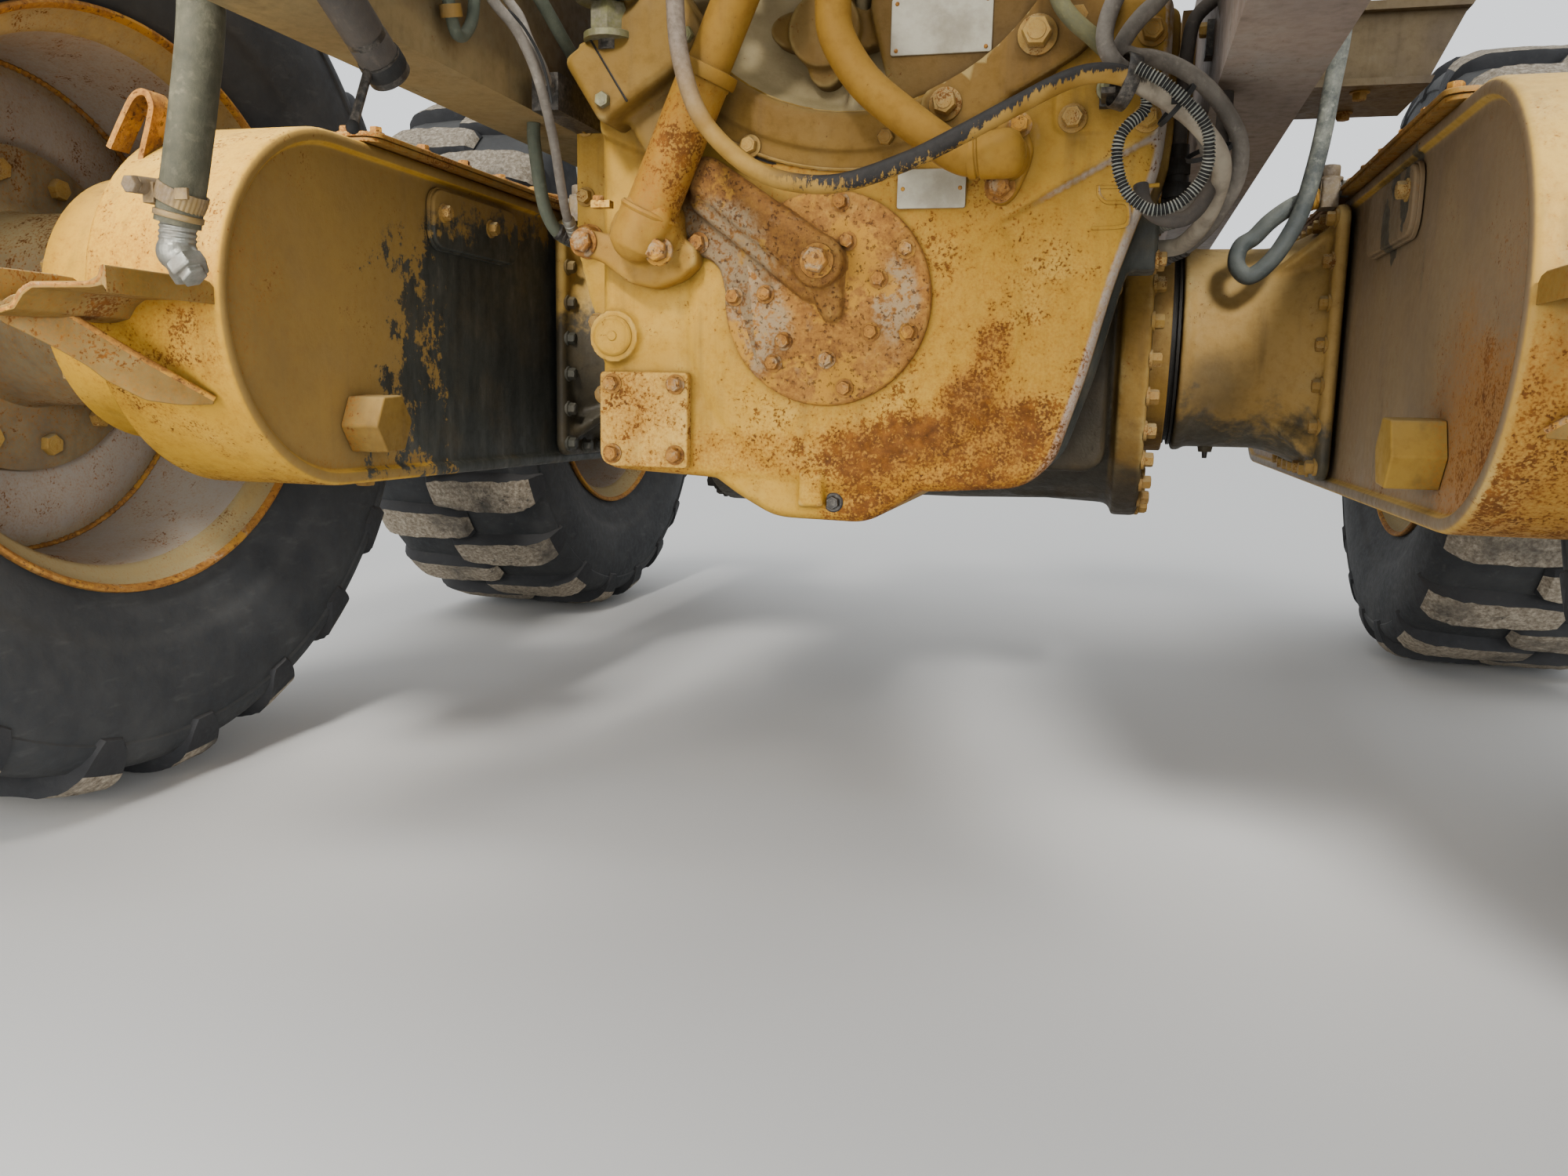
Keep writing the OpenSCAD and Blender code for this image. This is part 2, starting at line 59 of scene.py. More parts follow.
# ---------------------------------------------------------------- camera
def make_camera():
    cam = bpy.data.cameras.new("camera")
    ob = bpy.data.objects.new("camera", cam)
    bpy.context.scene.collection.objects.link(ob)
    yaw, pitch, roll = 0.2577, -0.1559, 0.0211
    fwd = Vector((-math.sin(yaw) * math.cos(pitch), math.cos(yaw) * math.cos(pitch), math.sin(pitch)))
    right = Vector((math.cos(yaw), math.sin(yaw), 0))
    up = right.cross(fwd)
    r2 = math.cos(roll) * right + math.sin(roll) * up
    u2 = -math.sin(roll) * right + math.cos(roll) * up
    m = Matrix((r2, u2, -fwd)).transposed().to_4x4()
    m.translation = Vector((0.2872, -3.4787, -0.3865))
    ob.matrix_world = m
    cam.sensor_width = 36.0
    cam.lens = 27.544
    cam.clip_start, cam.clip_end = 0.02, 100
    bpy.context.scene.camera = ob


make_camera()

# ---------------------------------------------------------------- shapes


def frame_of(d):
    """Two directions square to d."""
    d = d.normalized()
    a = Vector((0, 0, 1)) if abs(d.z) < 0.9 else Vector((1, 0, 0))
    u = d.cross(a).normalized()
    return u, d.cross(u).normalized()


class Shape:
    """Vertices and faces of one piece, gathered part by part."""

    def __init__(self):
        self.v, self.f, self.m = [], [], []

    def add(self, verts, faces, mat=0):
        n = len(self.v)
        self.v += [tuple(p) for p in verts]
        self.f += [tuple(i + n for i in f) for f in faces]
        self.m += [mat] * len(faces)

    def join(self, other, matrix=None):
        vs = other.v if matrix is None else [tuple(matrix @ Vector(p)) for p in other.v]
        flip = matrix is not None and matrix.determinant() < 0
        n = len(self.v)
        self.v += vs
        self.f += [tuple(i + n for i in (reversed(f) if flip else f)) for f in other.f]
        self.m += other.m
        return self

    def mirrored(self):
        return Shape().join(self, Matrix.Scale(-1, 4, (1, 0, 0)))

    def moved(self, x, y, z):
        return Shape().join(self, Matrix.Translation((x, y, z)))

    def box(self, a, b, mat=0, m=None):
        x0, y0, z0 = (min(a[i], b[i]) for i in range(3))
        x1, y1, z1 = (max(a[i], b[i]) for i in range(3))
        vs = [(x0, y0, z0), (x1, y0, z0), (x1, y1, z0), (x0, y1, z0),
              (x0, y0, z1), (x1, y0, z1), (x1, y1, z1), (x0, y1, z1)]
        if m is not None:
            vs = [tuple(m @ Vector(p)) for p in vs]
        self.add(vs, [(0, 3, 2, 1), (4, 5, 6, 7), (0, 1, 5, 4), (1, 2, 6, 5), (2, 3, 7, 6), (3, 0, 4, 7)], mat)

    def prism(self, outline, axis, a, b, mat=0, m=None):
        """An outline drawn along X (y, z), Y (x, z) or Z (x, y)."""
        area = sum(p[0] * q[1] - q[0] * p[1] for p, q in zip(outline, outline[1:] + outline[:1]))
        pts = list(outline) if area > 0 else list(reversed(outline))
        n = len(pts)
        put = {"x": lambda p, t: (t, p[0], p[1]), "y": lambda p, t: (p[0], t, p[1]),
               "z": lambda p, t: (p[0], p[1], t)}[axis]
        lo, hi = min(a, b), max(a, b)
        vs = [put(p, lo) for p in pts] + [put(p, hi) for p in pts]
        faces = [tuple(range(n - 1, -1, -1)), tuple(range(n, 2 * n))]
        faces += [(i, (i + 1) % n, n + (i + 1) % n, n + i) for i in range(n)]
        if axis == "y":
            faces = [tuple(reversed(f)) for f in faces]
        if m is not None:
            vs = [tuple(m @ Vector(p)) for p in vs]
        self.add(vs, faces, mat)

    def cyl(self, a, b, r, r2=None, n=32, mat=0, spin=0.0):
        a, b = Vector(a), Vector(b)
        r2 = r if r2 is None else r2
        u, w = frame_of(b - a)
        vs = []
        for c, rr in ((a, r), (b, r2)):
            for k in range(n):
                t = 2 * math.pi * k / n + spin
                vs.append(c + rr * (math.cos(t) * u + math.sin(t) * w))
        faces = [tuple(range(n - 1, -1, -1)), tuple(range(n, 2 * n))]
        faces += [(k, (k + 1) % n, n + (k + 1) % n, n + k) for k in range(n)]
        self.add(vs, faces, mat)

    def revolve(self, profile, centre=(0, 0, 0), axis=(1, 0, 0), n=64, mat=0, closed=True, start=0.0):
        """A closed outline of (radius, distance along the axis) turned round it."""
        d = Vector(axis).normalized()
        u, w = frame_of(d)
        c = Vector(centre)
        m = len(profile)
        area = sum(p[0] * q[1] - q[0] * p[1] for p, q in zip(profile, profile[1:] + profile[:1]))
        pts = list(profile) if area > 0 else list(reversed(profile))
        vs = []
        for k in range(n):
            t = 2 * math.pi * k / n + start
            e = math.cos(t) * u + math.sin(t) * w
            vs += [c + r * e + h * d for r, h in pts]
        faces = []
        for k in range(n):
            k2 = (k + 1) % n
            for i in range(m if closed else m - 1):
                i2 = (i + 1) % m
                quad = (k * m + i, k * m + i2, k2 * m + i2, k2 * m + i)
                faces.append(tuple(reversed(quad)))
        self.add(vs, faces, mat)

    def tube(self, pts, r, n=12, mat=0, caps=True, rfun=None):
        """A tube along points; rfun(i, k, at) may change the radius."""
        pts = [Vector(p) for p in pts]
        m = len(pts)
        cum = [0.0]
        for p, q in zip(pts, pts[1:]):
            cum.append(cum[-1] + (q - p).length)
        u = None
        vs = []
        for i, p in enumerate(pts):
            t = (pts[min(i + 1, m - 1)] - pts[max(i - 1, 0)]).normalized()
            if u is None:
                u = frame_of(t)[0]
            else:
                u = (u - t * u.dot(t)).normalized()
            w = t.cross(u)
            for k in range(n):
                a = 2 * math.pi * k / n
                rr = r if rfun is None else rfun(i, k, cum[i]) * r
                vs.append(p + rr * (math.cos(a) * u + math.sin(a) * w))
        faces = []
        if caps:
            faces += [tuple(range(n - 1, -1, -1)), tuple((m - 1) * n + k for k in range(n))]
        faces += [(i * n + k, i * n + (k + 1) % n, (i + 1) * n + (k + 1) % n, (i + 1) * n + k)
                  for i in range(m - 1) for k in range(n)]
        self.add(vs, faces, mat)

    def ball(self, c, r, n=16, mat=0, scale=(1, 1, 1)):
        c = Vector(c)
        rows = n // 2
        vs = [c + Vector((0, 0, -r * scale[2]))]
        for i in range(1, rows):
            a = -math.pi / 2 + math.pi * i / rows
            for k in range(n):
                t = 2 * math.pi * k / n
                vs.append(c + Vector((r * scale[0] * math.cos(a) * math.cos(t),
                                      r * scale[1] * math.cos(a) * math.sin(t), r * scale[2] * math.sin(a))))
        vs.append(c + Vector((0, 0, r * scale[2])))
        top = len(vs) - 1
        faces = [(0, 1 + (k + 1) % n, 1 + k) for k in range(n)]
        for i in range(rows - 2):
            for k in range(n):
                a0, a1 = 1 + i * n + k, 1 + i * n + (k + 1) % n
                faces.append((a0, a1, a1 + n, a0 + n))
        faces += [(top, top - n + k, top - n + (k + 1) % n) for k in range(n)]
        self.add(vs, faces, mat)

    def bolt(self, at, normal, s=0.012, h=None, mat=0, washer=True, spin=None, dome=False, nut=False):
        """A hex head of half width s over its flats, seated at a point."""
        at, d = Vector(at), Vector(normal).normalized()
        h = s * 1.15 if h is None else h
        spin = (at.x * 37.0 + at.y * 61.0 + at.z * 53.0) if spin is None else spin
        z = 0.0
        if washer:
            t = s * 0.3
            self.chamfered(at, d, [(s * 1.5, -0.002), (s * 1.5, t * 0.8), (s * 1.42, t)], 24, mat)
            z = t
        rc = s / math.cos(math.pi / 6)
        # six flats whose corners are rounded off on top
        u, w = frame_of(d)
        rings = [(rc, z - 0.001), (rc, z + h * 0.82), (rc * 0.9, z + h)]
        vs = []
        for rr, hh in rings:
            for k in range(6):
                t = math.pi / 3 * k + spin
                vs.append(at + d * hh + rr * (math.cos(t) * u + math.sin(t) * w))
        faces = [tuple(range(5, -1, -1))]
        for i in range(len(rings) - 1):
            faces += [(i * 6 + k, i * 6 + (k + 1) % 6, (i + 1) * 6 + (k + 1) % 6, (i + 1) * 6 + k) for k in range(6)]
        faces.append(tuple(range((len(rings) - 1) * 6, len(rings) * 6)))
        self.add(vs, faces, mat)
        if nut:
            self.chamfered(at, d, [(s * 0.58, z + h * 0.8), (s * 0.58, z + h * 1.7), (s * 0.45, z + h * 1.85)], 16, mat)
        elif dome:
            self.chamfered(at, d, [(rc * 0.8, z + h * 0.98), (rc * 0.62, z + h * 1.12), (rc * 0.3, z + h * 1.2)], 16, mat)
        else:
            # shallow dish in the head
            self.chamfered(at, d, [(s * 0.72, z + h * 0.96), (s * 0.68, z + h * 1.05), (s * 0.5, z + h * 1.03)], 16, mat)

    def chamfered(self, at, d, rings, n, mat=0):
        """A turned stub: rings of (radius, height), closed at both ends."""
        at, d = Vector(at), Vector(d).normalized()
        u, w = frame_of(d)
        vs = []
        for rr, hh in rings:
            for k in range(n):
                t = 2 * math.pi * k / n
                vs.append(at + d * hh + rr * (math.cos(t) * u + math.sin(t) * w))
        m = len(rings)
        faces = [tuple(range(n - 1, -1, -1)), tuple(range((m - 1) * n, m * n))]
        for i in range(m - 1):
            faces += [(i * n + k, i * n + (k + 1) % n, (i + 1) * n + (k + 1) % n, (i + 1) * n + k) for k in range(n)]
        self.add(vs, faces, mat)

    def weld(self, pts, r=0.005, mat=0, seed=1):
        """A bead with ripples along a line."""
        rng = random.Random(seed)
        fine = resample(pts, r * 0.7)
        wob = [1 + 0.16 * math.sin(i * 1.9) + rng.uniform(-0.1, 0.1) for i in range(len(fine))]
        self.tube(fine, r, 8, mat, True, lambda i, k, at: wob[i])


def spline(pts, per=6):
    """Catmull-Rom through points."""
    p = [Vector(q) for q in pts]
    out = []
    for i in range(len(p) - 1):
        a, b, c, d = p[max(i - 1, 0)], p[i], p[i + 1], p[min(i + 2, len(p) - 1)]
        for k in range(per):
            t = k / per
            out.append(0.5 * (2 * b + (c - a) * t + (2 * a - 5 * b + 4 * c - d) * t * t
                              + (3 * b - a - 3 * c + d) * t ** 3))
    out.append(p[-1])
    return out


def resample(pts, step):
    pts = [Vector(p) for p in pts]
    cum = [0.0]
    for p, q in zip(pts, pts[1:]):
        cum.append(cum[-1] + (q - p).length)
    n = max(2, int(round(cum[-1] / step)) + 1)
    out, j = [], 0
    for i in range(n):
        s = cum[-1] * i / (n - 1)
        while j < len(pts) - 2 and cum[j + 1] < s:
            j += 1
        seg = cum[j + 1] - cum[j]
        t = 0 if seg < 1e-9 else (s - cum[j]) / seg
        out.append(pts[j].lerp(pts[j + 1], min(1, max(0, t))))
    return out


def arc(c, r, a0, a1, n):
    """Points of an arc, degrees, in a plane's two coordinates."""
    return [(c[0] + r * math.cos(math.radians(a0 + (a1 - a0) * i / n)),
             c[1] + r * math.sin(math.radians(a0 + (a1 - a0) * i / n))) for i in range(n + 1)]


def round_rect(a, b, r, n=6):
    x0, y0, x1, y1 = a[0], a[1], b[0], b[1]
    return (arc((x1 - r, y0 + r), r, -90, 0, n) + arc((x1 - r, y1 - r), r, 0, 90, n)
            + arc((x0 + r, y1 - r), r, 90, 180, n) + arc((x0 + r, y0 + r), r, 180, 270, n))


def rounded(poly, r, n=4):
    """A polygon's corners rounded off; r may be a list, one for each corner."""
    out = []
    m = len(poly)
    for i in range(m):
        p0, p, p1 = Vector(poly[i - 1]), Vector(poly[i]), Vector(poly[(i + 1) % m])
        rr = r[i] if isinstance(r, (list, tuple)) else r
        a, b = (p0 - p), (p1 - p)
        cut = min(rr, a.length * 0.45, b.length * 0.45)
        if cut < 1e-5:
            out.append(tuple(p))
            continue
        q0, q1 = p + a.normalized() * cut, p + b.normalized() * cut
        for k in range(n + 1):
            t = k / n
            q = q0 * (1 - t) ** 2 + p * 2 * t * (1 - t) + q1 * t * t
            out.append((q.x, q.y))
    return out


def to_object(name, shape, mats, bevel=0.0, segments=2, angle=32, keep_local=False):
    """A piece from a shape, with an optional bevel on its sharp edges."""
    me = bpy.data.meshes.new(name)
    vs = [tuple(Vector(p) + OFF) for p in shape.v] if not keep_local else shape.v
    me.from_pydata(vs, [], shape.f)
    for i, m in enumerate(shape.m):
        me.polygons[i].material_index = m
    me.update()
    for m in mats:
        me.materials.append(m)
    ob = bpy.data.objects.new(name, me)
    bpy.context.scene.collection.objects.link(ob)
    if bevel > 0:
        md = ob.modifiers.new("bevel", "BEVEL")
        md.width = bevel
        md.segments = segments
        md.limit_method = "ANGLE"
        md.angle_limit = math.radians(angle)
        md.use_clamp_overlap = True
        md.miter_outer = "MITER_ARC"
        bake(ob)
    sharpen(ob, 38)
    return ob


def sharpen(ob, angle=38):
    me = ob.data
    for p in me.polygons:
        p.use_smooth = True
    me.set_sharp_from_angle(angle=math.radians(angle))


def bake(ob):
    """Applies the modifiers of a piece."""
    dg = bpy.context.evaluated_depsgraph_get()
    me = bpy.data.meshes.new_from_object(ob.evaluated_get(dg))
    old = ob.data
    ob.modifiers.clear()
    ob.data = me
    me.name = ob.name
    bpy.data.meshes.remove(old)


def cast(name, shape, mats, voxel=0.005, smooth=3, keep=0.5, factor=0.5):
    """A casting: closed shapes melted together, their edges and joints rounded."""
    ob = to_object(name, shape, mats)
    md = ob.modifiers.new("remesh", "REMESH")
    md.mode = "VOXEL"
    md.voxel_size = voxel
    md.adaptivity = 0.0
    if smooth:
        sm = ob.modifiers.new("smooth", "SMOOTH")
        sm.factor = factor
        sm.iterations = smooth
    if keep < 1:
        de = ob.modifiers.new("decimate", "DECIMATE")
        de.ratio = keep
    bake(ob)
    sharpen(ob, 50)
    return ob


def weld_objects(name, obs):
    """Several pieces made into one mesh, each keeping its own materials."""
    mats = []
    bm = bmesh.new()
    for ob in obs:
        remap = []
        for m in ob.data.materials:
            if m not in mats:
                mats.append(m)
            remap.append(mats.index(m))
        me = ob.data
        start = len(bm.faces)
        bm.from_mesh(me)
        bm.faces.ensure_lookup_table()
        for f in bm.faces[start:]:
            f.material_index = remap[f.material_index] if remap else 0
    me = bpy.data.meshes.new(name)
    bm.to_mesh(me)
    bm.free()
    for m in mats:
        me.materials.append(m)
    for ob in obs:
        old = ob.data
        bpy.data.objects.remove(ob)
        bpy.data.meshes.remove(old)
    ob = bpy.data.objects.new(name, me)
    bpy.context.scene.collection.objects.link(ob)
    return ob


def done(ob, body, slot, *nodes):
    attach(ob, body)
    if nodes:
        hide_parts(*nodes)
    return ob


# ---------------------------------------------------------------- materials
def rgb(r, g, b):
    """An sRGB colour, 0 to 255, as linear light, with warm colours kept from turning red in the picture."""
    if r > g > b and r - b > 30:
        g, b = g + 0.12 * (r - g), b * 0.90
    return tuple((c / 12.92 if c <= 0.04045 else ((c + 0.055) / 1.055) ** 2.4)
                 for c in (r / 255, g / 255, b / 255)) + (1.0,)


class Graph:
    def __init__(self, name, rough=0.6, metallic=0.0):
        self.mat = bpy.data.materials.new(name)
        self.mat.use_nodes = True
        self.nt = self.mat.node_tree
        self.nt.nodes.clear()
        self.out = self.new("ShaderNodeOutputMaterial")
        self.bsdf = self.new("ShaderNodeBsdfPrincipled")
        self.nt.links.new(self.bsdf.outputs[0], self.out.inputs[0])
        self.bsdf.inputs["Roughness"].default_value = rough
        self.bsdf.inputs["Metallic"].default_value = metallic
        self.bsdf.inputs["Specular IOR Level"].default_value = 0.5 if metallic else 0.22
        tc = self.new("ShaderNodeTexCoord")
        add = self.new("ShaderNodeVectorMath")
        add.operation = "ADD"
        add.inputs[1].default_value = (0, 1.45, 0.295)
        self.nt.links.new(tc.outputs["Object"], add.inputs[0])
        self.P = add.outputs[0]
        s = self.new("ShaderNodeSeparateXYZ")
        self.nt.links.new(self.P, s.inputs[0])
        self.X, self.Y, self.Z = s.outputs
        self._geo = None
        self._n = None

    def new(self, kind):
        return self.nt.nodes.new(kind)

    def put(self, sock, value):
        if isinstance(value, bpy.types.NodeSocket):
            self.nt.links.new(value, sock)
        elif value is not None:
            sock.default_value = value

    @property
    def NZ(self):
        if self._n is None:
            geo = self.new("ShaderNodeNewGeometry")
            s = self.new("ShaderNodeSeparateXYZ")
            self.nt.links.new(geo.outputs["Normal"], s.inputs[0])
            self._n = s.outputs
        return self._n[2]

    @property
    def NX(self):
        self.NZ
        return self._n[0]

    @property
    def NY(self):
        self.NZ
        return self._n[1]

    def scaled(self, s, shift=(0, 0, 0)):
        n = self.new("ShaderNodeMapping")
        self.put(n.inputs["Vector"], self.P)
        n.inputs["Scale"].default_value = s
        n.inputs["Location"].default_value = shift
        return n.outputs[0]

    def noise(self, scale, detail=4.0, rough=0.55, vec=None, dist=0.0):
        n = self.new("ShaderNodeTexNoise")
        self.put(n.inputs["Vector"], self.P if vec is None else vec)
        n.inputs["Scale"].default_value = scale
        n.inputs["Detail"].default_value = detail
        n.inputs["Roughness"].default_value = rough
        n.inputs["Distortion"].default_value = dist
        return n.outputs[0]

    def voronoi(self, scale, vec=None, feature="F1", rand=1.0):
        n = self.new("ShaderNodeTexVoronoi")
        n.feature = feature
        self.put(n.inputs["Vector"], self.P if vec is None else vec)
        n.inputs["Scale"].default_value = scale
        n.inputs["Randomness"].default_value = rand
        return n.outputs[0]

    def m(self, op, a, b=None, c=None, clamp=False):
        n = self.new("ShaderNodeMath")
        n.operation = op
        n.use_clamp = clamp
        self.put(n.inputs[0], a)
        self.put(n.inputs[1], b)
        self.put(n.inputs[2], c)
        return n.outputs[0]

    def step(self, v, a, b, c=0.0, d=1.0):
        """Smooth step of v from a to b."""
        n = self.new("ShaderNodeMapRange")
        n.interpolation_type = "SMOOTHSTEP"
        self.put(n.inputs[0], v)
        for i, x in ((1, a), (2, b), (3, c), (4, d)):
            self.put(n.inputs[i], x)
        return n.outputs[0]

    def mix(self, fac, a, b, blend="MIX"):
        n = self.new("ShaderNodeMix")
        n.data_type = "RGBA"
        n.blend_type = blend
        n.clamp_factor = True
        self.put(n.inputs[0], fac)
        self.put(n.inputs[6], a)
        self.put(n.inputs[7], b)
        return n.outputs[2]

    def ramp(self, fac, stops):
        n = self.new("ShaderNodeValToRGB")
        r = n.color_ramp
        while len(r.elements) > 1:
            r.elements.remove(r.elements[-1])
        r.elements[0].position, r.elements[0].color = stops[0][0], stops[0][1]
        for p, c in stops[1:]:
            e = r.elements.new(p)
            e.color = c
        self.put(n.inputs[0], fac)
        return n.outputs[0]

    def near(self, centre, radii, edge=0.35, wobble=0.25, scale=9.0):
        """1 inside an ellipsoid round a point, fading to 0 outside, with a ragged edge."""
        n = self.new("ShaderNodeMapping")
        n.vector_type = "TEXTURE"
        self.put(n.inputs["Vector"], self.P)
        n.inputs["Location"].default_value = centre
        n.inputs["Scale"].default_value = radii
        ln = self.new("ShaderNodeVectorMath")
        ln.operation = "LENGTH"
        self.nt.links.new(n.outputs[0], ln.inputs[0])
        w = self.m("MULTIPLY_ADD", self.noise(scale, 4, 0.6), wobble * 2, -wobble)
        d = self.m("ADD", ln.outputs["Value"], w)
        return self.step(d, 1 - edge, 1 + edge, 1.0, 0.0)

    def ao(self, distance=0.04, samples=4):
        n = self.new("ShaderNodeAmbientOcclusion")
        n.samples = samples
        n.inputs["Distance"].default_value = distance
        return n.outputs["AO"]

    def attr(self, name):
        n = self.new("ShaderNodeAttribute")
        n.attribute_name = name
        return n.outputs["Fac"]

    def bump(self, height, strength=0.4, distance=0.002, normal=None):
        n = self.new("ShaderNodeBump")
        n.inputs["Strength"].default_value = strength
        n.inputs["Distance"].default_value = distance
        self.put(n.inputs["Height"], height)
        self.put(n.inputs["Normal"], normal)
        return n.outputs[0]

    def end(self, colour, rough=None, normal=None, metallic=None):
        self.put(self.bsdf.inputs["Base Color"], colour)
        self.put(self.bsdf.inputs["Roughness"], rough)
        self.put(self.bsdf.inputs["Normal"], normal)
        self.put(self.bsdf.inputs["Metallic"], metallic)
        return self.mat


OCHRE = rgb(186, 134, 52)
OCHRE_DEEP = rgb(163, 111, 38)
OCHRE_PALE = rgb(190, 156, 100)
DUST = rgb(152, 134, 108)
DUST_GREY = rgb(140, 130, 116)
RUST_DARK = rgb(74, 42, 25)
RUST = rgb(126, 72, 36)
RUST_ORANGE = rgb(164, 98, 44)
# colour of washed-down dirt, also used for painted shade
GRIME_AND_SHADE = rgb(58, 46, 32)
OIL = rgb(22, 20, 18)


def paint(name, base=OCHRE, deep=OCHRE_DEEP, pale=OCHRE_PALE, specks=0.0, rust=None, oil_and_shade=None,
          grime_and_shade=None, dust=0.35, dust_where=None, wall=None, bevel=None, cast=0.25, seed=0.0, crevice=0.55, scale=1.0, rough=0.60, rubbed=0.38, oil_and_shade_tone=1.0):
    """Old ochre paint: uneven, faded, dusty on top, with rust coming through and corners darkened by dirt and painted
    shade.
    rust, oil_and_shade, grime_and_shade and dust_where are functions of the graph that give a mask; oil_and_shade and
    grime_and_shade also carry painted shade, and wall tints a masked region: painted shade on the cases, painted light
    on the wheel discs."""
    g = Graph(name, rough)
    sh = (seed * 3.1, seed * 1.7, seed * 2.3)
    vec = g.scaled((1, 1, 1), sh)
    big = g.noise(2.6 * scale, 4, 0.55, vec)
    mid = g.noise(11 * scale, 5, 0.62, vec)
    fine = g.noise(75 * scale, 5, 0.65, vec)
    col = g.mix(g.step(big, 0.36, 0.66), base, deep)
    col = g.mix(g.step(mid, 0.50, 0.78, 0.0, 0.65), col, pale)
    col = g.mix(g.step(fine, 0.42, 0.75, 0.0, 0.22), col, deep, "MULTIPLY")
    # runs of dirt washed down
    streak = g.noise(1.0, 5, 0.6, g.scaled((34, 34, 2.2), sh))
    col = g.mix(g.m("MULTIPLY", g.step(streak, 0.52, 0.76), 0.34), col, GRIME_AND_SHADE)
    # dust that settled
    up = g.step(g.NZ, 0.25, 0.95)
    dm = g.m("MULTIPLY", up, dust * 1.7)
    dm = g.m("ADD", dm, g.m("MULTIPLY", g.step(mid, 0.38, 0.7), dust * 0.55))
    if dust_where is not None:
        dm = g.m("ADD", dm, dust_where(g))
    dm = g.m("MULTIPLY", dm, g.step(fine, 0.2, 0.62, 0.55, 1.0), clamp=True)
    col = g.mix(dm, col, DUST)
    # dark grime over a mask: real dirt on some parts, painted shade on others (undersides, tops under the frame, inner
    # walls)
    if grime_and_shade is not None:
        gm = g.m("MULTIPLY", grime_and_shade(g), g.step(mid, 0.25, 0.6, 0.55, 1.0))
        col = g.mix(gm, col, GRIME_AND_SHADE)
    # tint over a masked region: painted shade on the tandem cases' inner walls; on the wheel discs' inner side a greyer
    # tint, partly pale dust and partly painted light
    if wall is not None:
        wcol, wmask = wall
        col = g.mix(g.m("MULTIPLY", wmask(g), g.step(mid, 0.2, 0.7, 1.0, 0.80)), col, g.mix(g.step(big, 0.4, 0.65), wcol, tuple(c * 0.80 for c in wcol[:3]) + (1.0,)))
    # dirt and painted shade in corners, darkened where ambient occlusion is high
    if crevice:
        cr = g.m("MULTIPLY", g.step(g.ao(0.035, 4), 0.35, 0.92, 1.0, 0.0), crevice)
        col = g.mix(cr, col, rgb(66, 50, 32))
    # edges rubbed bare
    ew = g.step(g.m("ADD", g.attr("edge"), g.m("MULTIPLY_ADD", mid, 0.3, -0.15)), 0.07, 0.22)
    col = g.mix(g.m("MULTIPLY", ew, rubbed), col, rgb(196, 172, 128))
    if bevel is not None:
        bv = g.m("MULTIPLY", bevel(g), g.step(g.m("ADD", g.m("MULTIPLY", mid, 0.6), g.m("MULTIPLY", fine, 0.4)), 0.36, 0.50))
        col = g.mix(bv, col, rgb(172, 164, 156))
    # rust
    spot = g.noise(310 * scale, 3, 0.6, vec)
    grain = g.m("ADD", g.m("MULTIPLY", spot, 0.50), g.m("ADD", g.m("MULTIPLY", fine, 0.34), g.m("MULTIPLY", mid, 0.16)))
    area = g.m("MULTIPLY", g.step(mid, 0.45, 0.72), 0.04 + 0.07 * specks)
    if rust is not None:
        rz = rust(g)
        soft = g.m("ADD", rz, g.m("ADD", g.m("MULTIPLY_ADD", mid, 0.7, -0.35), g.m("MULTIPLY_ADD", fine, 0.5, -0.25)))
        grit = g.m("MULTIPLY_ADD", spot, 1.5, -0.75)
        soft = g.m("ADD", soft, grit)
        col = g.mix(g.step(soft, 0.05, 0.95, 0.0, 0.92), col, g.mix(g.step(g.m("ADD", soft, g.m("MULTIPLY_ADD", big, 0.8, -0.4)), 0.60, 1.20), rgb(150, 88, 22), rgb(92, 46, 16)))
        area = g.m("ADD", area, g.m("MULTIPLY", rz, 0.160))
    rm = g.m("MULTIPLY", g.step(g.m("ADD", grain, area), 0.625, 0.69), 0.88)
    rcol = g.ramp(g.noise(60 * scale, 5, 0.7, vec), [(0.3, rgb(70, 36, 18)), (0.5, rgb(104, 56, 24)), (0.68, rgb(138, 78, 32))])
    col = g.mix(rm, col, rcol)
    rgh = g.step(fine, 0.3, 0.7, rough - 0.06, rough + 0.14)
    rgh = g.m("ADD", rgh, g.m("MULTIPLY", dm, 0.25))
    rgh = g.m("ADD", rgh, g.m("MULTIPLY", rm, 0.25), clamp=True)
    # black over a mask: oily; on the final drive and the left pivot the mask and its darker tone are partly painted
    # shade
    if oil_and_shade is not None:
        om = g.m("MULTIPLY", oil_and_shade(g), g.step(mid, 0.2, 0.55, 0.86, 1.0))
        ocol = g.ramp(g.noise(30, 5, 0.7, g.scaled((1, 1, 0.25), sh)), [(p, tuple(c * oil_and_shade_tone for c in rgb_) + (1.0,)) for p, rgb_ in ((0.3, (0.022, 0.024, 0.021)), (0.58, (0.050, 0.052, 0.044)), (0.74, (0.095, 0.090, 0.074)))])
        col = g.mix(om, col, ocol)
        rgh = g.m("SUBTRACT", rgh, g.m("MULTIPLY", om, 0.12))
    h = g.m("ADD", g.m("MULTIPLY", fine, 0.5), g.m("MULTIPLY", g.noise(260, 2, 0.5, vec), 0.5 * cast))
    h = g.m("SUBTRACT", h, g.m("MULTIPLY", rm, 0.30))
    h = g.m("ADD", h, g.m("MULTIPLY", mid, 0.9 * cast))
    return g.end(col, rgh, g.bump(h, 0.35 + 0.4 * cast, 0.0022))


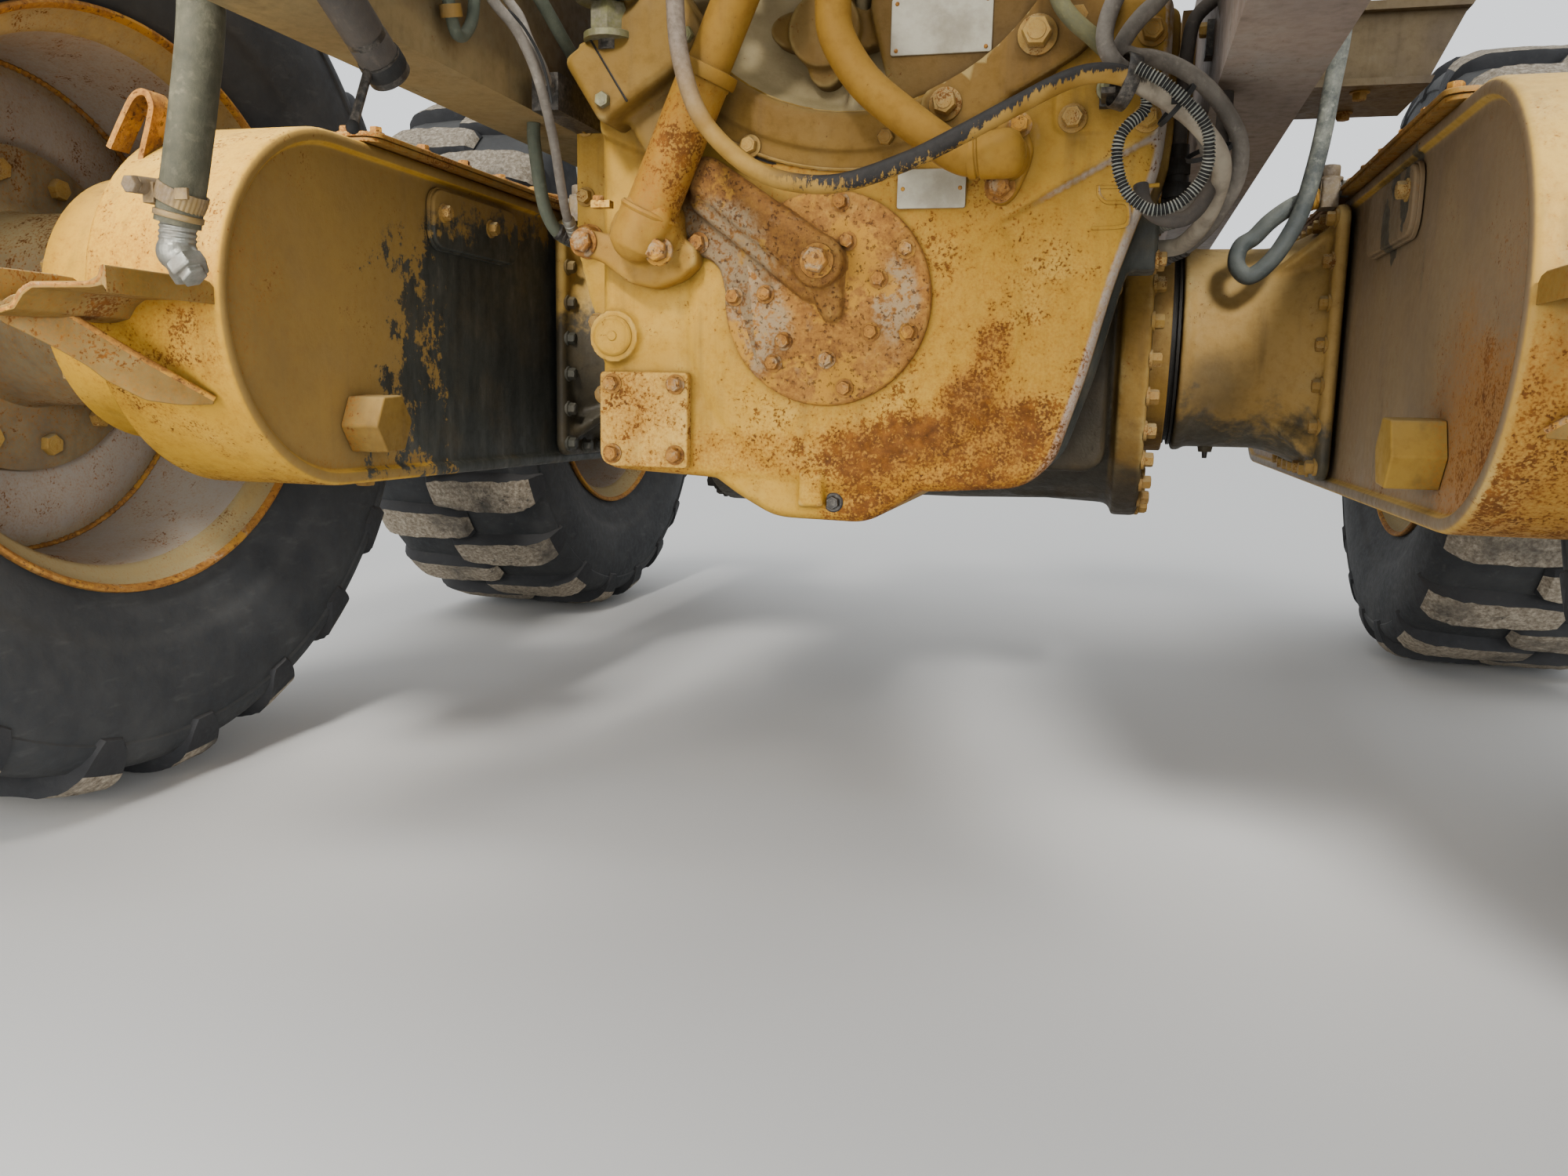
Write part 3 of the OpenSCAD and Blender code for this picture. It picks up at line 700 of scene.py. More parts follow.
def rusty(name, seed=0.0, yellow=0.25, grey=0.4, orange=0.5, grey_where=None, tone=1.0):
    """Iron whose paint has mostly gone: brown rust, orange bloom, grey scale."""
    g = Graph(name, 0.8)
    sh = (seed * 3.7, seed * 2.9, seed * 1.3)
    vec = g.scaled((1, 1, 1), sh)
    mid = g.noise(16, 6, 0.66, vec)
    fine = g.noise(150, 5, 0.7, vec)
    low = g.noise(5.5, 3, 0.5, vec)
    col = g.ramp(g.m("ADD", g.m("MULTIPLY", mid, 0.45), g.m("MULTIPLY", fine, 0.55)),
                 [(0.32, rgb(92, 52, 28)), (0.44, rgb(138, 86, 44)), (0.54, rgb(160, 106, 56)), (0.68, rgb(184, 136, 82))])
    col = g.mix(g.step(low, 0.62 - orange * 0.2, 0.86 - orange * 0.2, 0.0, 0.8), col, RUST_ORANGE)
    scale_ = g.step(g.m("ADD", g.noise(30, 6, 0.75, vec, 0.5), g.m("MULTIPLY", low, 0.25)), 0.72 - grey * 0.12, 0.84 - grey * 0.12)
    if grey_where is not None:
        place = g.m("ADD", grey_where(g), g.m("MULTIPLY_ADD", fine, 0.5, -0.25))
        scale_ = g.m("MAXIMUM", g.m("MULTIPLY", scale_, 0.35), g.m("MULTIPLY", g.step(place, 0.35, 0.85), g.step(fine, 0.40, 0.52)))
    col = g.mix(g.m("MULTIPLY", scale_, 0.72), col, rgb(156, 138, 124))
    left = g.step(g.m("ADD", g.noise(9, 5, 0.7, vec, 0.3), g.m("MULTIPLY", fine, 0.2)), 0.72 - yellow * 0.3, 0.78 - yellow * 0.3)
    col = g.mix(g.m("MULTIPLY", left, 0.85), col, rgb(180, 124, 52))
    pit = g.step(g.noise(170, 3, 0.7, vec), 0.58, 0.66)
    col = g.mix(g.m("MULTIPLY", pit, 0.7), col, rgb(66, 34, 22))
    # dirt and painted shade in corners, darkened where ambient occlusion is high
    cr = g.m("MULTIPLY", g.step(g.ao(0.03, 4), 0.35, 0.9, 1.0, 0.0), 0.55)
    col = g.mix(cr, col, rgb(50, 34, 24))
    ew = g.step(g.m("ADD", g.attr("edge"), g.m("MULTIPLY_ADD", mid, 0.3, -0.15)), 0.07, 0.22)
    col = g.mix(g.m("MULTIPLY", ew, 0.45), col, rgb(186, 136, 84))
    if tone != 1.0:
        col = g.mix(1.0, col, (tone, tone, tone, 1.0), "MULTIPLY")
    h = g.m("ADD", g.m("MULTIPLY", mid, 0.8), g.m("MULTIPLY", fine, 0.6))
    h = g.m("SUBTRACT", h, g.m("MULTIPLY", pit, 0.35))
    return g.end(col, g.step(fine, 0.3, 0.7, 0.7, 0.92), g.bump(h, 0.75, 0.003))


def rubber(name, base=rgb(40, 41, 43), dust=0.4, dust_col=DUST_GREY, scale=1.0, seed=0.0, rough=0.75, low=None, mud=None, mud_col=rgb(150, 140, 124)):
    g = Graph(name, rough)
    sh = (seed * 2.1, seed * 3.3, seed)
    vec = g.scaled((1, 1, 1), sh)
    mid = g.noise(9 * scale, 5, 0.65, vec)
    fine = g.noise(80 * scale, 5, 0.7, vec)
    scuff = g.noise(1.0, 4, 0.6, g.scaled((60 * scale, 16 * scale, 60 * scale), sh))
    col = g.mix(g.step(fine, 0.3, 0.75, 0.0, 0.5), base, rgb(26, 26, 28))
    dm = g.m("MULTIPLY", g.step(g.m("ADD", g.m("MULTIPLY", mid, 0.6), g.m("MULTIPLY", fine, 0.4)), 0.34, 0.72), dust)
    dm = g.m("ADD", dm, g.m("MULTIPLY", g.step(g.NZ, 0.1, 0.9), dust * 0.7))
    dm = g.m("ADD", dm, g.m("MULTIPLY", g.step(scuff, 0.56, 0.74), dust * 0.5), clamp=True)
    if low is not None:
        dm = g.m("MULTIPLY", dm, low(g))
    col = g.mix(dm, col, dust_col)
    rg = g.step(fine, 0.3, 0.7, rough - 0.08, rough + 0.12)
    h = g.m("ADD", g.m("MULTIPLY", fine, 0.7), g.m("MULTIPLY", mid, 0.5))
    if mud is not None:
        crumb = g.noise(60, 6, 0.75, vec)
        mm = g.m("MULTIPLY", mud(g), g.step(g.m("ADD", crumb, g.m("MULTIPLY", mid, 0.5)), 0.50, 0.66))
        mcol = g.ramp(g.noise(130, 4, 0.7, vec), [(0.3, rgb(96, 84, 70)), (0.5, mud_col), (0.72, rgb(178, 168, 150))])
        col = g.mix(mm, col, mcol)
        rg = g.m("ADD", rg, g.m("MULTIPLY", mm, 0.2), clamp=True)
        h = g.m("ADD", h, g.m("MULTIPLY", g.m("MULTIPLY", crumb, mm), 2.2))
    return g.end(col, rg, g.bump(h, 0.5, 0.0022))


def metal(name, base, dark, rough=0.42, metallic=0.75, dirt=0.4, scale=1.0, seed=0.0):
    g = Graph(name, rough, metallic)
    vec = g.scaled((1, 1, 1), (seed, seed * 2, seed * 3))
    mid = g.noise(30 * scale, 5, 0.65, vec)
    fine = g.noise(180 * scale, 4, 0.7, vec)
    col = g.mix(g.step(mid, 0.35, 0.7), base, dark)
    dm = g.m("MULTIPLY", g.step(g.m("ADD", g.m("MULTIPLY", mid, 0.5), g.m("MULTIPLY", fine, 0.5)), 0.42, 0.7), dirt, clamp=True)
    col = g.mix(dm, col, DUST_GREY)
    return g.end(col, g.step(mid, 0.3, 0.7, rough - 0.1, rough + 0.2), g.bump(fine, 0.3, 0.001),
                 g.m("SUBTRACT", metallic, g.m("MULTIPLY", dm, metallic)))


def one_minus(g, v):
    return g.m("SUBTRACT", 1.0, v)


# regions of the unit, about the tandem pivot
def gear_rust(g):
    """Rust that follows the swell at the lower right, runs along the bottom and sprinkles the rest."""
    low = g.m("MULTIPLY", g.m("MULTIPLY", g.step(g.Z, -0.11, -0.18), g.step(g.X, -0.09, 0.03)), 0.85)
    a = low
    for x, z, rx, rz_, k in ((0.162, -0.050, .026, .060, .80), (0.140, -0.095, .040, .050, 1.0), (0.095, -0.135, .070, .038, 1.0),
                             (0.035, -0.150, .075, .040, .95), (0.180, -0.125, .070, .062, .85), (-0.24, -0.185, .10, .03, .45),
                             (-0.03, 0.176, .10, .020, .55), (-0.10, -0.155, .13, .030, .55)):
        a = g.m("MAXIMUM", a, g.m("MULTIPLY", g.near((x, FACE, z), (rx, 0.3, rz_), 0.55, 0.35, 13), k))
    spray = g.m("MULTIPLY", g.near((0.09, FACE, -0.03), (0.22, 0.3, 0.20), 0.5, 0.25, 7), 0.36)
    return g.m("MULTIPLY", g.m("MAXIMUM", a, spray), g.step(g.Y, -0.60, -0.66))


def gear_oil(g):
    """The right flank behind the face is black and oily."""
    flank = g.m("MULTIPLY", g.step(g.Y, -0.655, -0.635), g.step(g.X, 0.10, 0.22))
    return g.m("MULTIPLY", flank, g.step(g.Z, 0.17, 0.10, 0.35, 1.0))


def pivot_left_oil_and_shade(g):
    """The left pivot housing and its flange are black but for the top: partly oily, partly painted shade beside the
    tyre.
    """
    z = g.m("ADD", g.Z, g.m("MULTIPLY_ADD", g.noise(12, 5, 0.7), 0.30, -0.15))
    return g.m("MAXIMUM", g.m("MULTIPLY", g.step(z, 0.080, 0.010), 0.93), g.m("MULTIPLY", right_oil(g), 0.5))


# black over the final drive's body, left end and foot: oily, and partly painted shade, the body sitting in shadow
# behind the gear case
def drive_oil_and_shade(g):
    body = g.m("MULTIPLY", g.step(g.m("ABSOLUTE", g.X), 0.2985, 0.290), 0.9)
    left_ = g.m("MULTIPLY", g.step(g.X, -0.285, -0.295), g.step(g.m("ADD", g.Z, g.m("MULTIPLY_ADD", g.noise(12, 5, 0.7), 0.30, -0.15)), 0.050, -0.020, 0.0, 0.92))
    body = g.m("MAXIMUM", body, left_)
    foot_ = g.m("MULTIPLY", g.step(g.m("ADD", g.Z, g.m("MULTIPLY_ADD", g.noise(14, 4, 0.6), 0.12, -0.06)), -0.16, -0.21), 0.8)
    return g.m("MAXIMUM", body, foot_)


def grey_scale(g):
    a = g.near((-0.145, FACE, 0.075), (0.062, 0.3, 0.060), 0.4, 0.4, 20)
    b = g.near((-0.100, FACE, -0.010), (0.040, 0.3, 0.060), 0.5, 0.5, 20)
    c = g.m("MULTIPLY", g.near((0.055, FACE, 0.020), (0.030, 0.3, 0.060), 0.5, 0.7, 26), 0.75)
    return g.m("MAXIMUM", g.m("MAXIMUM", a, g.m("MULTIPLY", b, 0.8)), c)


def gear_shade(g):
    """Painted shade: the gear case is darker towards its top and on what faces down."""
    return g.m("ADD", under_shade(g), g.step(g.Z, 0.05, 0.22, 0.0, 0.42), clamp=True)


def under_shade(g):
    """Painted shade: darker on what faces down or lies deep between the rails."""
    down = g.step(g.NZ, -0.2, -0.9)
    deep = g.step(g.Y, -0.62, -0.2)
    return g.m("ADD", g.m("MULTIPLY", down, 0.32), g.m("MULTIPLY", deep, 0.25), clamp=True)


def left_oil(g):
    """The big stain on the left case's inner wall, forward of its jacking block."""
    inner = g.step(g.X, -0.640, -0.612)
    drips = g.noise(1.0, 5, 0.65, g.scaled((1, 22, 3.2)))
    rag = g.m("ADD", g.m("MULTIPLY_ADD", g.noise(11, 6, 0.75), 0.65, -0.325), g.m("MULTIPLY_ADD", g.noise(60, 5, 0.75), 0.24, -0.12))
    edge = g.m("ADD", g.Y, g.m("ADD", rag, g.m("MULTIPLY_ADD", drips, 0.22, -0.11)))
    band = g.m("MULTIPLY", g.step(edge, -0.625, -0.590), g.step(g.Y, 0.60, 0.15))
    low = g.step(g.m("ADD", g.Z, g.m("ADD", g.m("MULTIPLY", rag, 0.35), g.m("MULTIPLY_ADD", g.Y, -0.10, -0.05))), 0.150, 0.125)
    return g.m("MULTIPLY", g.m("MULTIPLY", inner, band), low)


def right_oil(g):
    under = g.step(g.m("ADD", g.m("ADD", g.Z, g.m("MULTIPLY", g.m("SUBTRACT", g.m("ABSOLUTE", g.X), 0.44), 0.22)), g.m("MULTIPLY_ADD", g.noise(14, 5, 0.65), 0.30, -0.15)), -0.060, -0.130)
    tube = g.m("MULTIPLY", g.m("MULTIPLY", under, g.step(g.m("ABSOLUTE", g.X), 0.598, 0.590)), 0.9)
    spot_ = g.m("MULTIPLY", g.near((0.43, -0.14, -0.06), (0.05, 0.1, 0.05), 0.5, 0.5, 18), 0.5)
    tube = g.m("MAXIMUM", tube, spot_)
    box_ = g.m("MULTIPLY", g.near((0.595, -0.47, 0.150), (0.03, 0.070, 0.05), 0.35, 0.9, 22), 0.4)
    drip = g.m("MULTIPLY", g.step(g.noise(1.0, 5, 0.7, g.scaled((1, 30, 2.0))), 0.55, 0.72), 0.5)
    drip = g.m("MULTIPLY", drip, g.near((0.595, -0.40, -0.02), (0.03, 0.22, 0.22), 0.5, 0.3))
    for y, z, ry, rz_ in ((-0.520, 0.152, 0.020, 0.042), (-0.430, 0.118, 0.022, 0.030), (-0.462, 0.165, 0.018, 0.016)):
        box_ = g.m("MAXIMUM", box_, g.step(g.near((0.595, y, z), (0.03, ry, rz_), 0.4, 1.6, 34), 0.35, 0.55))
    return g.m("ADD", g.m("MAXIMUM", tube, g.m("MULTIPLY", box_, 0.85)), drip, clamp=True)


# mask of the tandem cases' inner walls and their plates, where painted shade goes
def inner_wall_shade(g):
    ay = g.m("ABSOLUTE", g.Y)
    plates = g.m("MULTIPLY", g.m("MULTIPLY", g.step(ay, 0.296, 0.312), g.step(ay, 0.578, 0.562)),
                 g.m("MULTIPLY", g.step(g.Z, 0.090, 0.096), g.step(g.Z, 0.184, 0.180)))
    flat = g.m("MAXIMUM", g.step(g.m("ABSOLUTE", g.NX), 0.70, 0.98), plates)
    return g.m("MULTIPLY", g.step(g.m("ABSOLUTE", g.X), 0.6070, 0.6040, 0.0, 0.85), flat)


def right_bevel(g):
    """The rounded right edge of the gear case's face, rubbed pale."""
    side = g.m("MULTIPLY", g.step(g.NX, 0.25, 0.55), g.step(g.Y, -0.655, -0.664))
    return g.m("MULTIPLY", side, g.step(g.X, 0.19, 0.225, 0.0, 0.85))


# painted shade: patchy darkening over the cases' inner walls
def wall_shade(g):
    return g.m("MULTIPLY", inner_wall_shade(g), g.step(g.noise(3, 4, 0.5), 0.35, 0.65, 0.22, 0.42))


def end_rust(g):
    """Cases rust at their ends and along the lower edge."""
    ends = g.step(g.m("ABSOLUTE", g.Y), 0.78, 1.0)
    low = g.step(g.Z, -0.15, -0.205)
    ends = g.m("MULTIPLY", g.m("MULTIPLY", ends, g.step(g.noise(7, 4, 0.6), 0.40, 0.60, 0.3, 1.0)), 0.42)
    return g.m("MULTIPLY", g.m("MAXIMUM", ends, g.m("MULTIPLY", low, 0.40)), g.step(g.m("ABSOLUTE", g.X), 0.597, 0.604))


def right_rust(g):
    rear = g.m("MULTIPLY", g.step(g.m("ADD", g.Z, g.m("MULTIPLY_ADD", g.noise(6, 4, 0.6), 0.24, -0.12)), 0.03, -0.08), g.step(g.X, 0.597, 0.604))
    rear = g.m("MULTIPLY", rear, g.step(g.Y, -0.60, -0.80))
    return g.m("MAXIMUM", end_rust(g), g.m("MULTIPLY", rear, 0.62))


M = {}
M["gear"] = paint("gear_case_paint", base=rgb(194, 144, 54), deep=rgb(174, 126, 44), pale=rgb(204, 162, 82), rust=gear_rust, oil_and_shade=gear_oil, specks=0.5, dust=0.06, grime_and_shade=gear_shade, bevel=right_bevel, cast=0.7, seed=1)
# bell paint is darkened to paint in the shade from the frame above; the recessed inner wall gets a still darker copy:
# painted shade
M["bell"] = paint("bell_paint", base=rgb(126, 90, 38), deep=rgb(104, 72, 30), pale=rgb(130, 98, 54), specks=0.55, dust=0.16, grime_and_shade=under_shade, cast=0.6, seed=2)
M["bell_deep"] = paint("bell_inner_paint", base=rgb(112, 80, 36), deep=rgb(90, 64, 30), pale=rgb(112, 88, 52), specks=0.4, dust=0.12, grime_and_shade=under_shade, cast=0.6, seed=26)
M["dish"] = paint("dish_paint", base=rgb(168, 148, 122), deep=rgb(146, 128, 104), pale=rgb(170, 158, 140), specks=0.25, dust=0.6, cast=0.6, seed=3)
# final drive: its black is partly painted shade
M["drive"] = paint("final_drive_paint", base=rgb(168, 122, 56), deep=rgb(128, 92, 42), specks=0.45, dust=0.2, grime_and_shade=under_shade, oil_and_shade=drive_oil_and_shade, oil_and_shade_tone=0.5, cast=0.9, seed=4)
# tandem cases: their inner walls get a darker, bluer tint and patchy darkening, painted shade
M["case_left"] = paint("tandem_left_paint", base=rgb(190, 140, 48), deep=rgb(174, 124, 40), pale=rgb(204, 160, 78), rust=end_rust, specks=0.45, dust=0.10, rubbed=0.10, grime_and_shade=wall_shade, oil_and_shade=left_oil, wall=(rgb(128, 102, 72), inner_wall_shade), cast=0.12, seed=5)
M["case_right"] = paint("tandem_right_paint", base=rgb(188, 146, 78), deep=rgb(170, 128, 66), pale=rgb(198, 168, 118), rust=right_rust, specks=0.45, dust=0.22, rubbed=0.10, grime_and_shade=wall_shade, oil_and_shade=right_oil, wall=(rgb(120, 106, 92), inner_wall_shade), cast=0.12, seed=6)
# left pivot: a darker copy of the pivot paint; its black is partly oily, partly painted shade
M["pivot_left"] = paint("pivot_left_paint", base=rgb(158, 122, 68), deep=rgb(132, 100, 54), specks=0.5, dust=0.15, oil_and_shade=pivot_left_oil_and_shade, oil_and_shade_tone=0.45, cast=0.6, seed=28)
M["pivot"] = paint("pivot_paint", base=rgb(172, 134, 84), deep=rgb(150, 114, 68), pale=rgb(176, 148, 116), specks=0.5, dust=0.25, oil_and_shade=right_oil, cast=0.6, seed=7)
M["cover_edge"] = paint("case_cover_paint", base=rgb(144, 112, 66), deep=rgb(112, 84, 50), rust=lambda g: g.m("MULTIPLY", g.noise(9, 4, 0.6), 0.9), specks=0.9, dust=0.35, cast=0.3, seed=25)
M["paint"] = paint("yellow_paint", specks=0.4, dust=0.35, cast=0.15, seed=8)
# block paint is darkened: painted shade from the frame above
M["block"] = paint("block_paint", base=rgb(122, 90, 38), deep=rgb(110, 78, 32), pale=rgb(128, 98, 50), specks=0.0, dust=0.15, cast=0.25, seed=9)
# frame paint: its grime_and_shade mask is painted shade, darker towards the middle between the rails and on faces
# turned down
M["frame"] = paint("frame_paint", base=rgb(150, 108, 48), deep=rgb(104, 74, 40), pale=rgb(140, 118, 78), specks=0.35, dust=0.5,
                   grime_and_shade=lambda g: g.m("ADD", g.m("MULTIPLY", g.step(g.m("ABSOLUTE", g.X), 0.50, 0.37), 0.45), g.m("MULTIPLY", g.step(g.NZ, -0.3, -0.9), 0.30), clamp=True),
                   cast=0.2, seed=10)
# oil pipe and bent pipe paints are darkened: painted shade
M["pipe"] = paint("pipe_paint", base=rgb(156, 112, 46), deep=rgb(140, 96, 38), pale=rgb(164, 124, 62), rust=lambda g: g.m("MULTIPLY", g.near((-0.19, -0.735, 0.17), (0.06, 0.10, 0.08), 0.5, 0.45, 18), 0.50), specks=0.9, dust=0.12, cast=0.3, seed=11)
M["bent"] = paint("bent_pipe_paint", base=rgb(150, 106, 40), deep=rgb(134, 92, 34), pale=rgb(154, 116, 56), specks=0.15, dust=0.04, cast=0.12, seed=12)
M["rim"] = paint("rim_paint", base=rgb(176, 142, 92), deep=rgb(146, 116, 80), pale=rgb(176, 162, 142), specks=0.45, dust=0.75, rust=lambda g: g.m("MULTIPLY", g.noise(6, 4, 0.6), 0.28), dust_where=lambda g: g.m("MULTIPLY", g.step(g.m("ABSOLUTE", g.X), 1.12, 1.05, 0.0, 0.60), g.step(g.noise(4, 4, 0.6), 0.32, 0.60)), cast=0.3, seed=13)
M["hub"] = paint("hub_paint", base=rgb(120, 104, 88), deep=rgb(98, 84, 72), pale=rgb(138, 128, 118), specks=0.9, dust=0.9, rust=lambda g: g.m("MULTIPLY", g.noise(5, 5, 0.65), 0.6), crevice=0.4, cast=0.5, seed=27)
# disc: its inner side is tinted greyer, partly pale dust and partly painted light standing in for bounce light inside
# the wheel
M["disc"] = paint("rim_disc_paint", base=rgb(166, 146, 122), deep=rgb(140, 120, 98), pale=rgb(190, 186, 180), specks=0.6, dust=0.9, rust=lambda g: g.m("MULTIPLY", g.noise(4, 5, 0.65), 0.40), crevice=0.25, wall=(rgb(158, 150, 144), lambda g: g.step(g.m("ABSOLUTE", g.X), 1.095, 1.080, 0.0, 0.80)), cast=0.5, seed=14)
M["lip"] = rusty("rim_lip_rust", 1, yellow=0.35, grey=0.15, orange=0.35)
M["cover"] = rusty("round_cover_rust", 2, yellow=0.36, grey=0.32, orange=0.42, grey_where=grey_scale, tone=0.90)
M["arm"] = rusty("cover_arm_rust", 3, yellow=0.16, grey=0.50, orange=0.22, grey_where=grey_scale, tone=0.62)
M["square"] = paint("square_cover_paint", base=rgb(206, 160, 86), deep=rgb(188, 140, 66), rust=lambda g: g.m("MULTIPLY_ADD", g.noise(12, 4, 0.6), 1.2, -0.15), specks=1.0, dust=0.1, cast=0.4, seed=4)
M["edge"] = rusty("cover_edge_rust", 5, yellow=0.3, grey=0.2, orange=0.35)
M["bolt_rust"] = rusty("bolt_rust", 6, yellow=0.2, grey=0.7, orange=0.3)
M["bolt"] = paint("bolt_paint", base=rgb(168, 130, 74), deep=rgb(136, 102, 60), pale=rgb(160, 144, 122), specks=1.0, dust=0.6, rust=lambda g: g.m("MULTIPLY", g.noise(14, 3, 0.6), 0.5), cast=0.3, seed=15, scale=2.0)
M["bolt_dark"] = paint("bolt_oil_and_shade_paint", base=rgb(120, 92, 52), deep=rgb(70, 56, 38), specks=0.6, dust=0.2, cast=0.3, seed=30, scale=2.0, oil_and_shade=pivot_left_oil_and_shade)
M["bolt_clean"] = paint("bolt_clean_paint", base=rgb(190, 142, 50), specks=0.1, dust=0.15, cast=0.1, seed=16, scale=2.0)
M["worn_lip"] = paint("ring_lip_paint", base=rgb(150, 112, 56), deep=rgb(128, 92, 46), pale=rgb(164, 138, 100), specks=0.8, dust=0.3, cast=0.3, seed=29, scale=2.0)
M["worn"] = paint("worn_edge_paint", base=rgb(168, 158, 140), deep=rgb(140, 122, 92), pale=rgb(186, 180, 168), specks=0.3, dust=0.3, cast=0.4, seed=17)
M["hose_grey"] = rubber("dusty_hose", base=rgb(96, 90, 82), dust=0.75, dust_col=rgb(148, 140, 128), scale=2, seed=1)
M["hose_dark"] = rubber("dark_hose", base=rgb(62, 58, 54), dust=0.35, dust_col=rgb(120, 108, 94), scale=2, seed=2)
M["hose_green"] = rubber("green_hose", base=rgb(72, 78, 66), dust=0.45, dust_col=rgb(122, 124, 104), scale=2, seed=3)
M["braid"] = rubber("braided_hose", base=rgb(92, 92, 70), dust=0.6, dust_col=rgb(146, 136, 100), scale=3, seed=4)
M["conduit"] = rubber("conduit_plastic", base=rgb(104, 108, 102), dust=0.60, dust_col=rgb(172, 168, 152), scale=3, seed=5, rough=0.6)
M["black"] = rubber("black_rubber", base=rgb(30, 30, 29), dust=0.10, dust_col=rgb(96, 92, 86), scale=2, seed=6)
M["soot"] = rubber("oily_black", base=rgb(26, 24, 20), dust=0.12, dust_col=rgb(90, 78, 62), scale=2, seed=7, rough=0.5)
M["tyre"] = rubber("tyre_rubber", base=rgb(46, 48, 50), dust=0.34, dust_col=rgb(94, 93, 90), seed=8)
M["tread"] = rubber("tyre_tread", base=rgb(40, 41, 43), dust=0.22, dust_col=rgb(92, 90, 88), seed=9)
M["mud"] = rubber("tyre_mud", base=rgb(54, 53, 52), dust=0.5, dust_col=rgb(112, 104, 92), seed=10, mud=lambda g: g.step(g.noise(6, 4, 0.6), 0.25, 0.50), mud_col=rgb(136, 126, 110))
M["zinc"] = metal("zinc", rgb(150, 150, 140), rgb(110, 106, 96), dirt=0.55)
M["fitting"] = metal("brown_fitting", rgb(112, 92, 70), rgb(72, 60, 48), rough=0.6, metallic=0.2, dirt=0.7)
M["olive"] = metal("olive_fitting", rgb(122, 118, 86), rgb(84, 82, 62), rough=0.5, metallic=0.55, dirt=0.55)
M["steel"] = metal("dark_steel", rgb(60, 58, 55), rgb(40, 38, 36), rough=0.5, metallic=0.6, dirt=0.5)
M["plate"] = metal("blank_plate", rgb(172, 166, 146), rgb(146, 138, 116), rough=0.55, metallic=0.25, dirt=0.5, scale=0.6)
M["orange"] = paint("orange_paint", base=rgb(190, 110, 44), deep=rgb(160, 88, 36), specks=0.5, dust=0.2, cast=0.2, seed=18)


# Painted shade: the rails get darker above their lower edge.
def rail_web_shade(g):
    return g.step(g.m("ADD", g.Z, g.m("MULTIPLY_ADD", g.noise(3, 4, 0.6), 0.10, -0.05)), 0.250, 0.285)


M["rail_left"] = paint("rail_left_paint", base=rgb(138, 114, 86), deep=rgb(112, 96, 76), pale=rgb(134, 122, 102), specks=0.2, dust=0.3, grime_and_shade=lambda g: g.m("MULTIPLY", rail_web_shade(g), 0.5), cast=0.12, seed=22)
M["rail_right"] = paint("rail_right_paint", base=rgb(148, 132, 120), deep=rgb(122, 112, 106), pale=rgb(142, 138, 134), specks=0.1, dust=0.15, grime_and_shade=lambda g: g.m("MULTIPLY", rail_web_shade(g), 0.4), cast=0.12, seed=23)
M["bracket"] = paint("bracket_paint", base=rgb(112, 94, 76), deep=rgb(78, 68, 60), pale=rgb(118, 108, 96), specks=0.3, dust=0.35, cast=0.12, seed=24)
M["drain"] = rubber("drain_hose_rubber", base=rgb(60, 60, 47), dust=0.58, dust_col=rgb(116, 111, 90), scale=1.6, seed=12, rough=0.7)
M["clamp"] = metal("clamp_band", rgb(138, 110, 76), rgb(98, 74, 50), rough=0.6, metallic=0.25, dirt=0.4)
M["brake"] = rubber("brake_hose", base=rgb(62, 68, 68), dust=0.80, dust_col=rgb(160, 162, 148), scale=2, seed=11, rough=0.55, low=lambda g: g.step(g.Z, 0.150, 0.255, 0.22, 1.0))
M["jack_left"] = paint("jack_left_paint", base=rgb(136, 102, 50), deep=rgb(114, 84, 42), pale=rgb(154, 122, 66), specks=0.5, dust=0.20, rust=lambda g: g.m("MULTIPLY", g.step(g.m("ABSOLUTE", g.X), 0.570, 0.602), 0.35), cast=0.2, seed=19)
M["jack_right"] = paint("jack_right_paint", base=rgb(152, 116, 52), deep=rgb(130, 96, 44), pale=rgb(162, 132, 76), specks=0.6, dust=0.25, rust=lambda g: g.m("MULTIPLY", g.step(g.m("ABSOLUTE", g.X), 0.570, 0.602), 0.35), cast=0.2, seed=20)
M["step"] = paint("step_paint", base=rgb(138, 104, 54), deep=rgb(116, 86, 44), pale=rgb(140, 116, 76), specks=1.0, dust=0.42, rust=lambda g: g.m("MULTIPLY", g.noise(9, 5, 0.6), 0.5), cast=0.2, seed=21)


